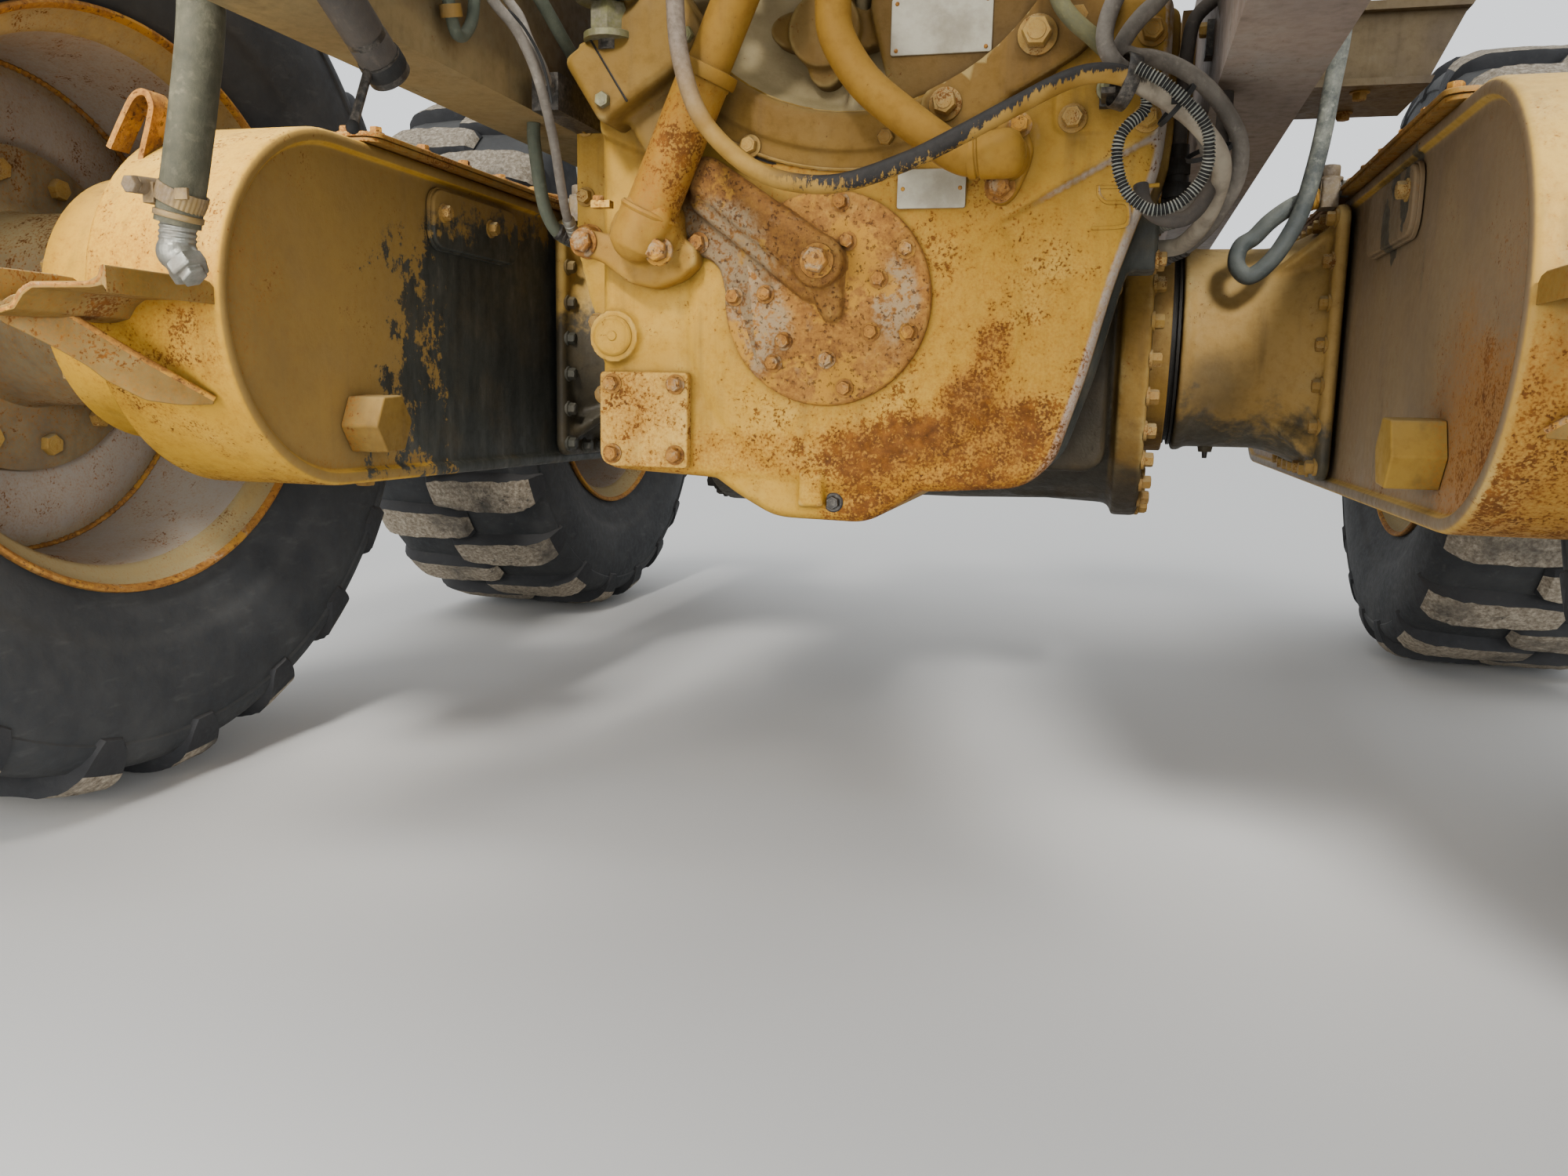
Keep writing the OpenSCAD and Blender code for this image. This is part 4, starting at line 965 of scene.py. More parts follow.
def main_hose_material():
    """Rubber hose with yellow overspray, rubbed back to black along its upper side, and dusty past the clamp."""
    g = Graph("main_hose_overspray", 0.6)
    along = g.attr("along")     # metres from the upper end
    side = g.attr("side")       # 1 on top, 0 below
    fine = g.noise(140, 4, 0.7)
    cut = g.noise(1.0, 4, 0.75, g.scaled((240, 240, 26)))
    blot = g.noise(26, 4, 0.6)
    black = g.mix(g.step(fine, 0.35, 0.7, 0.0, 0.6), rgb(46, 43, 40), rgb(30, 28, 26))
    yellow = g.mix(g.step(blot, 0.35, 0.65), rgb(154, 116, 62), rgb(134, 96, 42))
    pale = g.mix(g.step(fine, 0.35, 0.7), rgb(132, 118, 104), rgb(106, 94, 80))
    # along its length: pale, then yellow, then worn, then dusty
    worn = g.m("MULTIPLY", g.step(along, 0.61, 0.68), g.step(along, 1.04, 1.00))
    wear = g.m("ADD", g.m("MULTIPLY", cut, 0.55), g.m("MULTIPLY", blot, 0.35))
    wear = g.m("ADD", wear, g.m("MULTIPLY", side, g.step(along, 0.82, 0.90, 0.20, 0.46)))
    wear = g.m("SUBTRACT", wear, g.step(along, 0.84, 0.90, 0.0, 0.17))
    heavy = g.m("MULTIPLY", g.step(along, 0.68, 0.73), g.step(along, 0.86, 0.80, 0.0, 0.10))
    wm = g.m("MULTIPLY", g.step(g.m("ADD", wear, heavy), 0.545, 0.585), worn)
    thin = g.m("MULTIPLY", g.step(g.m("ADD", cut, g.m("MULTIPLY", fine, 0.3)), 0.86, 0.90), g.step(along, 0.34, 0.44))
    wm = g.m("MAXIMUM", wm, g.m("MULTIPLY", thin, g.step(along, 1.06, 1.02)))
    col = g.mix(g.step(g.m("ADD", along, g.m("MULTIPLY", blot, 0.06)), 0.47, 0.60), pale, yellow)
    col = g.mix(g.step(along, 0.99, 1.01), col, g.mix(g.step(blot, 0.4, 0.7), rgb(150, 140, 122), rgb(112, 102, 88)))
    col = g.mix(wm, col, black)
    h = g.m("SUBTRACT", g.m("MULTIPLY", fine, 0.4), g.m("MULTIPLY", wm, 0.6))
    return g.end(col, g.step(wm, 0.0, 1.0, 0.62, 0.56), g.bump(h, 0.5, 0.0012))


M["main"] = main_hose_material()


# ---------------------------------------------------------------- wheels
def close(shape_ob):
    """Turns every closed part's faces outward."""
    bm = bmesh.new()
    bm.from_mesh(shape_ob.data)
    bmesh.ops.recalc_face_normals(bm, faces=bm.faces)
    bm.to_mesh(shape_ob.data)
    bm.free()


def tyre_shape(phase_in, phase_out, seed):
    """Carcass with 21 bars a side, for a wheel on the machine's right, hub at the origin."""
    rng = random.Random(seed)
    s = Shape()
    half = [(.345, .168), (.362, .178), (.385, .186), (.400, .190), (.414, .1955), (.417, .1985), (.430, .2020),
            (.450, .2075), (.470, .2105), (.490, .2108), (.510, .2095), (.535, .2040), (.538, .2065), (.545, .2055),
            (.560, .1970), (.572, .1830), (.579, .1500), (.583, .0800)]
    prof = half + [(.584, 0.0)] + [(r, -w) for r, w in reversed(half)]
    s.revolve(prof, (0, 0, 0), (1, 0, 0), 126, 0)
    line = [(-.036, .590, .018, .034, -.034, .576), (-.024, .604, .028, .038, -.024, .576),
            (.000, .6078, .034, .041, .0, .576), (.030, .6084, .036, .042, .030, .576),
            (.060, .6084, .037, .043, .060, .576), (.090, .6082, .038, .0435, .090, .575),
            (.120, .6076, .0385, .044, .118, .573), (.145, .6058, .0385, .044, .140, .570),
            (.163, .6022, .038, .0435, .155, .565), (.178, .5960, .037, .042, .166, .560),
            (.190, .5870, .035, .040, .175, .555), (.199, .5750, .032, .037, .183, .550),
            (.2055, .560, .029, .033, .190, .542), (.2095, .545, .0245, .028, .195, .534),
            (.2112, .531, .015, .018, .200, .524)]
    fine = []
    for a, b in zip(line, line[1:]):
        fine += [a, tuple((p + q) / 2 for p, q in zip(a, b))]
    fine.append(line[-1])
    cols = (-1.0, -0.55, 0.0, 0.55, 1.0)
    for side, phase in ((-1, phase_in), (1, phase_out)):
        for k in range(21):
            mid = phase + math.radians(360 / 21 * k)
            lean = rng.uniform(-0.004, 0.004)
            drop = rng.uniform(0.0, 0.0015)
            vs, n = [], len(fine)
            for i, (w, rt, ht, hb, wi, ri) in enumerate(fine):
                on_top = 4 <= i <= 20
                wear = rng.uniform(0.0, 0.0022) if on_top else 0.0
                shift = lean * (w / 0.2)

                def put(ww, r, off):
                    a = mid + (off + shift) / 0.6
                    return (side * ww, r * math.cos(a), r * math.sin(a))
                wm, rm = wi + (w - wi) * 0.72, ri + (rt - ri) * 0.72
                jl, jr = rng.uniform(-0.0016, 0.0008), rng.uniform(-0.0016, 0.0008)
                vs.append(put(wi, ri, -hb - 0.006))
                vs.append(put(wm, rm, -hb))
                for c in cols:
                    edge = abs(c) == 1.0
                    r = rt - drop - (rng.uniform(0.0, 0.0030) if not edge and on_top else wear)
                    o = c * ht + (jl if c < 0 else jr) * abs(c) * (1.6 if on_top else 0.4)
                    vs.append(put(w, min(r, 0.6088), o))
                vs.append(put(wm, rm, hb))
                vs.append(put(wi, ri, hb + 0.006))
            m = 9
            faces, mats = [], []
            for i in range(n - 1):
                for j in range(m):
                    j2 = (j + 1) % m
                    q = (i * m + j, i * m + j2, (i + 1) * m + j2, (i + 1) * m + j)
                    faces.append(q if side > 0 else tuple(reversed(q)))
                    mats.append(2 if 2 <= j <= 5 and i < 22 else 1)
            faces += [tuple(range(m)), tuple(range((n - 1) * m, n * m))]
            mats += [1, 1]
            b = len(s.v)
            s.v += vs
            s.f += [tuple(q + b for q in f) for f in faces]
            s.m += mats
    return s


def rim_shape(seed):
    s = Shape()
    side = [(.310, .105), (.3165, .121), (.3180, .148), (.3230, .1555), (.3310, .1610), (.3375, .1680), (.3405, .1760),
            (.3430, .1815), (.3462, .1835), (.3495, .1825), (.3512, .1785), (.3505, .1740)]
    outer = [(.3440, .1640), (.3270, .1500), (.3220, .1000)]
    prof = ([(r, -w) for r, w in side] + [(r, -w) for r, w in outer] + list(reversed(outer)) + list(reversed(side)))
    s.revolve(prof, (0, 0, 0), (1, 0, 0), 112, 0)
    # rusty lip bands: faces beyond r .343
    for i, f in enumerate(s.f):
        pts = [s.v[j] for j in f]
        r = sum(math.hypot(p[1], p[2]) for p in pts) / 4
        w = sum(abs(p[0]) for p in pts) / 4
        if r > .3412 and w > .170:
            s.m[i] = 1
        elif w < .140:
            s.m[i] = 2
    disc = [(.1405, .019), (.178, .019), (.200, .015), (.225, .009), (.262, .008), (.286, .013), (.300, .019), (.3115, .021),
            (.3115, .037), (.300, .035), (.286, .030), (.262, .026), (.225, .027), (.200, .033), (.178, .038), (.1405, .038)]
    s.revolve(disc, (0, 0, 0), (1, 0, 0), 96, 2)
    # welds and lock ring
    for w, r in ((.017, .3085), (.040, .3085)):
        ring = [(w, r * math.cos(t * math.pi / 60), r * math.sin(t * math.pi / 60)) for t in range(121)]
        s.weld(ring, 0.0042, 3, seed)
    s.revolve([(.3160, .122), (.3225, .125), (.3235, .131), (.3225, .137), (.3160, .140)], (0, 0, 0), (1, 0, 0), 96, 0)
    for k in range(12):
        a = math.radians(30 * k + 8)
        s.bolt((.0378, .172 * math.cos(a), .172 * math.sin(a)), (1, 0, 0), .0135, .014, 4, True, a, nut=True)
    # valve stem
    a = math.radians(52 + seed * 40)
    p = Vector((-.10, .3105 * math.cos(a), .3105 * math.sin(a)))
    q = Vector((-.10, .283 * math.cos(a), .283 * math.sin(a)))
    s.cyl(p, q, .011, .008, 14, 4)
    s.tube(spline([q, q + Vector((-.012, -.004 * math.cos(a), -.004 * math.sin(a))), q + Vector((-.052, 0.004, 0))], 5), .0045, 10, 4)
    return s


def hub_shape():
    s = Shape()
    prof = [(0.0, -.1635), (.104, -.1635), (.113, -.160), (.1175, -.152), (.1175, -.034), (.122, -.018), (.134, -.0095),
            (.196, -.0080), (.2035, -.0045), (.2045, .003), (.2045, .0175), (.1395, .0185), (.1395, .043), (.135, .0475),
            (.118, .0510), (.112, .056), (.1085, .070), (.1035, .082), (.094, .0865), (.0, .0875)]
    s.revolve([(max(r, .0005), h) for r, h in prof], (0, 0, 0), (1, 0, 0), 80, 0)
    for k in range(12):
        a = math.radians(30 * k + 8)
        s.bolt((-.0075, .172 * math.cos(a), .172 * math.sin(a)), (-1, 0, 0), .0125, .012, 1, False, a)
    for k in range(8):
        a = math.radians(45 * k)
        s.bolt((.0472, .1255 * math.cos(a), .1255 * math.sin(a)), (1, 0, 0), .0075, .008, 1, True, a)
        s.bolt((.0868, .066 * math.cos(a), .066 * math.sin(a)), (1, 0, 0), .0060, .005, 1, True, a)
    s.bolt((.0868, .012, .020), (1, 0, 0), .012, .009, 1, False, .3)
    return s


PHASES = {("rear", "left"): (-33.3, -24.7), ("front", "left"): (-81.0, -72.4),
          ("rear", "right"): (-52.0, -43.4), ("front", "right"): (-80.0, -71.4)}
for (end, side), (pa, pb) in PHASES.items():
    e, sg = (1 if end == "front" else -1), (1 if side == "right" else -1)
    at = Matrix.Translation((sg * TRACK, e * AXLE, 0))
    turn = at if sg > 0 else at @ Matrix.Scale(-1, 4, (1, 0, 0))
    n = {"front": 0, "rear": 2}[end] + (side == "left")
    body = f"wheel_{end}_{side}"
    ob = to_object(f"tyre_vis_{end}_{side}", Shape().join(tyre_shape(math.radians(pa), math.radians(pb), 40 + n), turn),
                   [M["tyre"], M["tread"], M["mud"]])
    close(ob)
    done(ob, body, "tyre", f"tyre_{end}_{side}")
    ob = to_object(f"rim_vis_{end}_{side}", Shape().join(rim_shape(n), turn), [M["rim"], M["lip"], M["disc"], M["lip"], M["bolt"]])
    close(ob)
    done(ob, body, "rim_paint", f"rim_{end}_{side}")
    ob = to_object(f"hub_vis_{end}_{side}", Shape().join(hub_shape(), turn), [M["hub"], M["bolt"]])
    close(ob)
    done(ob, body, "yellow_paint", f"hub_{end}_{side}")


# ---------------------------------------------------------------- shaping tools for castings
def mm(poly):
    return [(a / 1000, b / 1000) for a, b in poly]


def inset(poly, d):
    """A polygon moved inwards by d."""
    n = len(poly)
    sg = 1 if sum(p[0] * q[1] - q[0] * p[1] for p, q in zip(poly, poly[1:] + poly[:1])) > 0 else -1
    out = []
    for i in range(n):
        a, b, c = Vector(poly[i - 1]), Vector(poly[i]), Vector(poly[(i + 1) % n])
        e0, e1 = (b - a).normalized(), (c - b).normalized()
        n0, n1 = Vector((-e0.y, e0.x)) * sg, Vector((-e1.y, e1.x)) * sg
        k = n0 + n1
        k = n0 if k.length < 1e-6 else k.normalized()
        q = b + k * (d / max(0.6, k.dot(n0)))
        out.append((q.x, q.y))
    return out


def loft(shape, rings, mat=0):
    n, m = len(rings[0]), len(rings)
    vs = [p for r in rings for p in r]
    faces = [tuple(range(n - 1, -1, -1)), tuple(range((m - 1) * n, m * n))]
    for i in range(m - 1):
        faces += [(i * n + k, i * n + (k + 1) % n, (i + 1) * n + (k + 1) % n, (i + 1) * n + k) for k in range(n)]
    shape.add(vs, faces, mat)


def slab(shape, poly, axis, face, back, r=0.004, mat=0, steps=4, both=False):
    """A plate or block whose edge round the side at 'face' is rounded by r."""
    sg = 1 if back > face else -1
    put = {"x": lambda p, t: (t, p[0], p[1]), "y": lambda p, t: (p[0], t, p[1]), "z": lambda p, t: (p[0], p[1], t)}[axis]
    seq = []
    for i in range(steps + 1):
        a = math.pi / 2 * i / steps
        seq.append((r * (1 - math.sin(a)), face + sg * r * (1 - math.cos(a))))
    if both:
        for i in range(steps + 1):
            a = math.pi / 2 * (1 - i / steps)
            seq.append((r * (1 - math.sin(a)), back - sg * r * (1 - math.cos(a))))
    else:
        seq.append((0.0, back))
    loft(shape, [[put(p, t) for p in inset(poly, d)] for d, t in seq], mat)


def capsule(a, b, r, r2=None, n=10):
    """Outline round two circles."""
    r2 = r if r2 is None else r2
    a, b = Vector(a), Vector(b)
    ang = math.degrees(math.atan2((b - a).y, (b - a).x))
    tilt = math.degrees(math.asin(max(-1, min(1, (r - r2) / max(1e-6, (b - a).length)))))
    return arc(b, r2, ang - 90 + tilt, ang + 90 - tilt, n) + arc(a, r, ang + 90 - tilt, ang + 270 + tilt, n)


def edge_wear(ob, times=2):
    """Stores how far each vertex stands out from its neighbours, which paint wears by."""
    me = ob.data
    n = len(me.vertices)
    co = np.empty(n * 3)
    me.vertices.foreach_get("co", co)
    no = np.empty(n * 3)
    me.vertex_normals.foreach_get("vector", no)
    co, no = co.reshape(-1, 3), no.reshape(-1, 3)
    e = np.empty(len(me.edges) * 2, dtype=np.int64)
    me.edges.foreach_get("vertices", e)
    e = e.reshape(-1, 2)
    d = co[e[:, 1]] - co[e[:, 0]]
    ln = np.linalg.norm(d, axis=1)
    acc, deg, tot = np.zeros((n, 3)), np.zeros(n), np.zeros(n)
    np.add.at(acc, e[:, 0], d)
    np.add.at(acc, e[:, 1], -d)
    for k in (0, 1):
        np.add.at(deg, e[:, k], 1)
        np.add.at(tot, e[:, k], ln)
    v = -np.sum(acc * no, axis=1) / np.maximum(tot, 1e-9)
    for _ in range(times):
        s = np.zeros(n)
        np.add.at(s, e[:, 0], v[e[:, 1]])
        np.add.at(s, e[:, 1], v[e[:, 0]])
        v = 0.4 * v + 0.6 * s / np.maximum(deg, 1)
    at = me.attributes.new("edge", "FLOAT", "POINT")
    at.data.foreach_set("value", np.clip(v, -1, 1).astype(np.float32))


def carve(ob, cutter):
    """Cuts one piece with another, which is then removed."""
    md = ob.modifiers.new("cut", "BOOLEAN")
    md.operation = "DIFFERENCE"
    md.solver = "EXACT"
    md.object = cutter
    bake(ob)
    old = cutter.data
    bpy.data.objects.remove(cutter)
    bpy.data.meshes.remove(old)


BELL = (0.0, 0.460)


def ring_at(r, deg, y):
    a = math.radians(deg)
    return (BELL[0] + r * math.cos(a), y, BELL[1] + r * math.sin(a))


# ---------------------------------------------------------------- gear case
def build_gear_case():
    s = Shape()
    back = mm([[-300, -178], [-60, -190], [100, -192], [200, -184], [233, -156], [262, -60], [286, 40], [308, 108],
               [325, 152], [329, 195], [329, 330], [-300, 330]])
    front = mm([[-318, -178], [-60, -186], [200, -180], [240, -150], [270, -60], [294, 40], [316, 108], [334, 152],
                [338, 200], [338, 330], [-358, 330], [-358, 90], [-340, 20], [-318, -30]])
    slab(s, rounded(back, 0.022, 5), "y", FACE, -0.262, 0.014)
    slab(s, rounded(front, 0.016, 4), "y", -0.620, -0.578, 0.004)
    slab(s, rounded(inset(back, 0.010), 0.022, 5), "y", -0.560, -0.300, 0.006)
    sump = mm([[-195, -160], [-130, -205], [-85, -229], [25, -231], [75, -200], [120, -170]])
    slab(s, rounded(sump, 0.018, 5), "y", -0.676, -0.320, 0.014)
    slab(s, rounded(mm([[-53, -214], [-52, -172], [-24, -171], [-22, -213]]), 0.004), "y", -0.6905, -0.66, 0.004)
    slab(s, round_rect((.214, .186), (.324, .318), .016), "y", -0.694, -0.66, 0.005)
    # raised upper right part, swelling round the cover, lobe of the elbow
    slab(s, rounded([(.168, .150), (.300, .205), (.322, .215), (.326, .326), (.070, .326), (.060, .215), (.100, .165)], .010), "y", -0.6868, -0.66, 0.006)
    a0, a1, nn = Vector((.122, .078)), Vector((.322, .187)), Vector((-.480, .877))
    rows = []
    for t, h in ((0, .001), (.06, .0030), (.14, .0055), (.30, .0095), (.45, .0118), (.6, .0125), (1, .0125)):
        q = a0 + (a1 - a0) * t
        rows.append([(p.x, y, p.y) for p, y in ((q - nn * .0015, -.672), (q, -.6800 - h * .75), (q + nn * .004, -.6802 - h), (q + nn * .012, -.6802 - h),
                                                (q + nn * .030, -.6800 - h * .80), (q + nn * .070, -.6796 - h * .30), (q + nn * .085, -.672))])
    loft(s, rows)
    swell = [(r * math.cos(t * math.pi / 36), .003 + r * math.sin(t * math.pi / 36)) for t in range(72) for r in (.186,)]
    loft(s, [[(x * k, y, .003 + (z - .003) * k) for x, z in swell] for k, y in ((.93, -.6852), (1.0, -.6838), (1.06, -.679), (1.06, -.66))])
    slab(s, rounded([(.146, .118), (.186, .122), (.202, .160), (.196, .208), (.154, .210), (.138, .170)], .014), "y", -0.6925, -0.66, 0.006)
    # step on the left edge and the elbow pad below the block
    slab(s, rounded([(-.300, .330), (-.300, .205), (-.246, .182), (-.200, .190), (-.200, .330)], .012), "y", -0.6865, -0.66, 0.006)
    # sides: manifold block; a round boss on the face
    slab(s, round_rect((-.617, .058), (-.538, .129), .008), "x", .330, .262, 0.005)
    s.cyl((-.280, -.690, -.022), (-.280, -.66, -.022), .030, .034, 28)
    ob = cast("gear_case_body", s, [M["gear"]], 0.0038, 1, 0.42, 0.5)
    cut = Shape()
    cut.cyl((BELL[0], -.80, BELL[1]), (BELL[0], -.622, BELL[1]), .2435, .236, 72)
    carve(ob, to_object("dish_cut", cut, []))
    sharpen(ob, 50)
    edge_wear(ob)
    return ob


ob = build_gear_case()
done(ob, "chassis", "yellow_casting", "gear_case")


def build_case_fittings():
    """Bolts, plates, plugs and small cast-on shapes of the gear case."""
    s = Shape()
    for x, z in ((.234, .202), (.308, .200), (.234, .300), (.308, .283)):
        s.bolt((x, -.6938, z), (0, -1, 0), .0098, .011, 0)
    for x, z in ((-.353, .148), (-.338, -.002), (-.330, -.09), (-.322, -.150), (-.353, .230), (-.353, .290)):
        s.bolt((x + .008, -.6198, z), (0, -1, 0), .0078, .009, 0, spin=x * 90)
    for x, z in ((-.20, -.1725), (-.10, -.181), (.05, -.1865), (.15, -.181), (.23, -.130), (.262, -.05), (.285, .035)):
        s.bolt((x, -.5785, z + .006), (0, 1, 0), .0070, .008, 0)
    # big round headed plug with its washer
    s.chamfered((-.341, -.6195, .095), (0, -1, 0), [(.021, -.002), (.021, .003), (.0185, .004), (.0175, .016), (.0165, .0185),
                                                  (.0135, .0195), (.0125, .017), (.0125, .015)], 32, 1)
    s.chamfered((-.280, -.6885, -.022), (0, -1, 0), [(.0235, -.003), (.0235, .003), (.0215, .0055), (.0200, .006), (.0175, .0045),
                                                   (.006, .0045), (.005, .006)], 36, 2)
    # drain plug
    s.chamfered((-.0125, -.6755, -.2078), (0, -1, 0), [(.0115, -.002), (.0115, .0015), (.0100, .0028)], 24, 3)
    s.bolt((-.0125, -.6778, -.2078), (0, -1, 0), .0068, .006, 3, False)
    # embossed open frame near the right edge
    e = [(.2640, .1365), (.2648, .1275), (.2735, .1198), (.2918, .1188), (.2963, .1098), (.2954, .098), (.2860, .0945), (.259, .0937)]
    s.tube(spline([(x, -.6793, z) for x, z in e], 5), .0024, 8, 2)
    s.tube(spline([(x, -.6793, z) for x, z in ((.262, .1355), (.285, .1350), (.3065, .1352), (.3250, .1362))], 5), .0022, 8, 2)
    # scar at the lower start of the raised wedge
    s.tube(spline([(x, -.6796, z) for x, z in ((.1447, .0782), (.1518, .0699), (.1560, .0610), (.1576, .0534))], 5), .0024, 8, 1)
    # thin black line along the wedge's lower edge: a painted shadow under the ledge
    s.tube(spline([(x, -.6803, z) for x, z in ((.1215, .0768), (.140, .0868), (.160, .0985), (.182, .1105))], 5), .0013, 6, 4)
    # parting line down the middle
    s.tube([(-.028, -.6790, -.118), (-.0275, -.6795, -.15), (-.028, -.6790, -.172)], .0016, 6, 2)
    # bolts that hold the manifold block on the right side
    for y, z in ((-.606, .070), (-.606, .119), (-.549, .070), (-.549, .119)):
        s.bolt((.3298, y, z), (1, 0, 0), .0070, .008, 0)
    ob = to_object("case_fittings", s, [M["bolt"], M["bolt_rust"], M["gear"], M["steel"], M["soot"]])
    close(ob)
    done(ob, "chassis", "yellow_casting")
    p = Shape()
    for (x0, z0, x1, z1), y in (((.052, .116, .126, .157), -.6879), ((.038, .276, .146, .3335), -.6802)):
        slab(p, round_rect((x0, z0), (x1, z1), .0025), "y", y - .0016, y + .001, .0006, 0)
        for rx, rz in ((x0 + .006, (z0 + z1) / 2), (x1 - .006, (z0 + z1) / 2)) if x0 > .05 else ((x0 + .006, z0 + .005), (x1 - .006, z0 + .005), (x0 + .006, z1 - .005), (x1 - .006, z1 - .005)):
            p.ball((rx, y - .0016, rz), .0024, 10, 1, (1, .6, 1))
    ob = to_object("blank_plates", p, [M["plate"], M["bolt_rust"]])
    close(ob)
    done(ob, "chassis", "yellow_casting")


build_case_fittings()


# ---------------------------------------------------------------- bell housing
def build_bell():
    s = Shape()
    # drum in front of the ring, cut off where the gear case stands
    drum = [(BELL[0] + .2945 * math.cos(math.radians(a)), BELL[1] + .2945 * math.sin(math.radians(a))) for a in range(-25, 206, 5)]
    slab(s, drum, "y", -.690, -.332, .006)
    slab(s, [(BELL[0] + .3040 * math.cos(math.radians(a)), BELL[1] + .3040 * math.sin(math.radians(a))) for a in range(-22, 203, 5)],
         "y", -.360, -.332, .004)
    for a in (20, 65, 115, 160):
        u = math.radians(a)
        m = Matrix.Translation((BELL[0], 0, BELL[1])) @ Matrix.Rotation(-u, 4, "Y")
        s.box((.285, -.66, -.007), (.3030, -.345, .007), 0, m)
    # ring in front of the case face with its rolled lip
    ring = [(.238, -.680), (.242, -.689), (.248, -.6925), (.281, -.6925), (.2835, -.6875), (.290, -.6870), (.3035, -.6860), (.3050, -.676), (.3050, -.655), (.238, -.655)]
    s.revolve([(r, h) for r, h in ring], (BELL[0], 0, BELL[1]), (0, 1, 0), 120, 0)
    # thicker run of the ring at the lower right
    slab(s, rounded([(.072, .224), (.086, .192), (.122, .193), (.222, .258), (.270, .300), (.262, .350), (.232, .352), (.188, .322), (.100, .252)], .012, 3),
         "y", -.7045, -.680, .004)
    slab(s, rounded([(.150, .248), (.168, .224), (.236, .262), (.276, .300), (.266, .356), (.232, .360), (.180, .318)], .010, 3), "y", -.7072, -.690, .003)
    s.cyl((.195, -.7065, .282), (.195, -.68, .282), .031, .033, 30)
    ob = cast("bell_body", s, [M["bell"]], 0.0034, 1, 0.32, 0.5)
    cut = Shape()
    cut.cyl((BELL[0], -.80, BELL[1]), (BELL[0], -.634, BELL[1]), .2425, .2400, 72)
    carve(ob, to_object("bell_cut", cut, []))
    sharpen(ob, 50)
    edge_wear(ob)
    done(ob, "chassis", "yellow_casting", "bell_housing")

    d = Shape()
    # dished back wall
    bowl = [(.2430, -.689), (.2385, -.672), (.226, -.653), (.200, -.643), (.150, -.6365), (.085, -.634), (.0006, -.633),
            (.0006, -.622), (.2430, -.622)]
    d.revolve(bowl, (BELL[0], 0, BELL[1]), (0, 1, 0), 96, 0)
    for a0 in (-91, -150, -30, 30, 90, 150, 210 - 91):
        p = [ring_at(r, a0, y) for r, y in ((.085, -.647), (.15, -.648), (.205, -.652), (.236, -.668))]
        d.tube(spline(p, 5), .0085, 10, 0)
    ob = cast("bell_dish", d, [M["dish"]], 0.0036, 3, 0.30, 0.5)
    edge_wear(ob)
    done(ob, "chassis", "yellow_casting")

    f = Shape()
    # flat wall at the right of the dish, three-lobed plate, bearing boss
    flat = [(BELL[0] + .2405 * math.cos(math.radians(a)), BELL[1] + .2405 * math.sin(math.radians(a))) for a in range(-80, 62, 4)]
    slab(f, rounded(flat + [(.112, .62), (.060, .52), (.030, .40), (.012, .33)], .010, 3), "y", -.6795, -.64, .006)
    lobes = []
    for i in range(72):
        a = math.radians(5 * i)
        r = .048 + .013 * math.cos(4 * (a + math.radians(3)))
        lobes.append((-.034 + r * 1.10 * math.cos(a), .311 + r * math.sin(a)))
    slab(f, lobes, "y", -.6690, -.64, .004)
    f.chamfered((-.037, -.668, .309), (0, -1, 0), [(.0405, -.01), (.0405, .010), (.0385, .0125), (.0350, .0135), (.0335, .0125)], 48)
    ob = cast("bell_inner", f, [M["bell_deep"]], 0.0030, 1, 0.42, 0.5)
    edge_wear(ob)
    done(ob, "chassis", "yellow_casting")

    # dark seam and thin lip along the ring's lower side
    l = Shape()
    l.tube([ring_at(.3052, t, -.6820) for t in range(228, 311, 2)], .0016, 6, 0)
    l.tube([ring_at(.3010, t, -.6868) for t in range(230, 309, 2)], .0018, 6, 1)
    l.tube([ring_at(.2470, t, -.6890) for t in range(214, 300, 2)], .0018, 6, 1)
    ob = to_object("ring_seam", l, [M["soot"], M["worn_lip"]])
    close(ob)
    done(ob, "chassis", "yellow_casting")

    b = Shape()
    for x, z, s_, y in ((-.116, .187, .0082, -.6868), (.038, .190, .0078, -.6868), (.103, .219, .0115, -.7043), (.195, .282, .0135, -.7073)):
        b.bolt((x, y, z), (0, -1, 0), s_, None, 0 if s_ != .0125 else 1, s_ != .0125)
    for a in range(-8, 189, 14):
        b.bolt(ring_at(.263, a, -.6923), (0, -1, 0), .0085, None, 0)
    ob = to_object("bell_bolts", b, [M["bolt"], M["bolt_clean"]])
    close(ob)
    done(ob, "chassis", "yellow_casting")

    y = Shape()
    flange = [(.0006, -.648), (.050, -.648), (.056, -.672), (.0745, -.676), (.0762, -.679), (.0762, -.703), (.0742, -.7058),
              (.0440, -.7058), (.0420, -.7040), (.0410, -.7200), (.0402, -.7340), (.0380, -.7362), (.0230, -.7362),
              (.0225, -.7180), (.0006, -.7180)]
    y.revolve(flange, (BELL[0], 0, BELL[1]), (0, 1, 0), 64, 0)
    for k in range(4):
        c = ring_at(.058, 45 + 90 * k, -.7056)
        y.bolt(c, (0, -1, 0), .0082, None, 1, True)
    y.bolt((BELL[0], -.7178, BELL[1]), (0, -1, 0), .0150, .010, 1, True)
    ob = to_object("input_flange", y, [M["bell"], M["steel"]], 0.0008, 1)
    close(ob)
    done(ob, "chassis", "yellow_paint", "input_yoke")


build_bell()


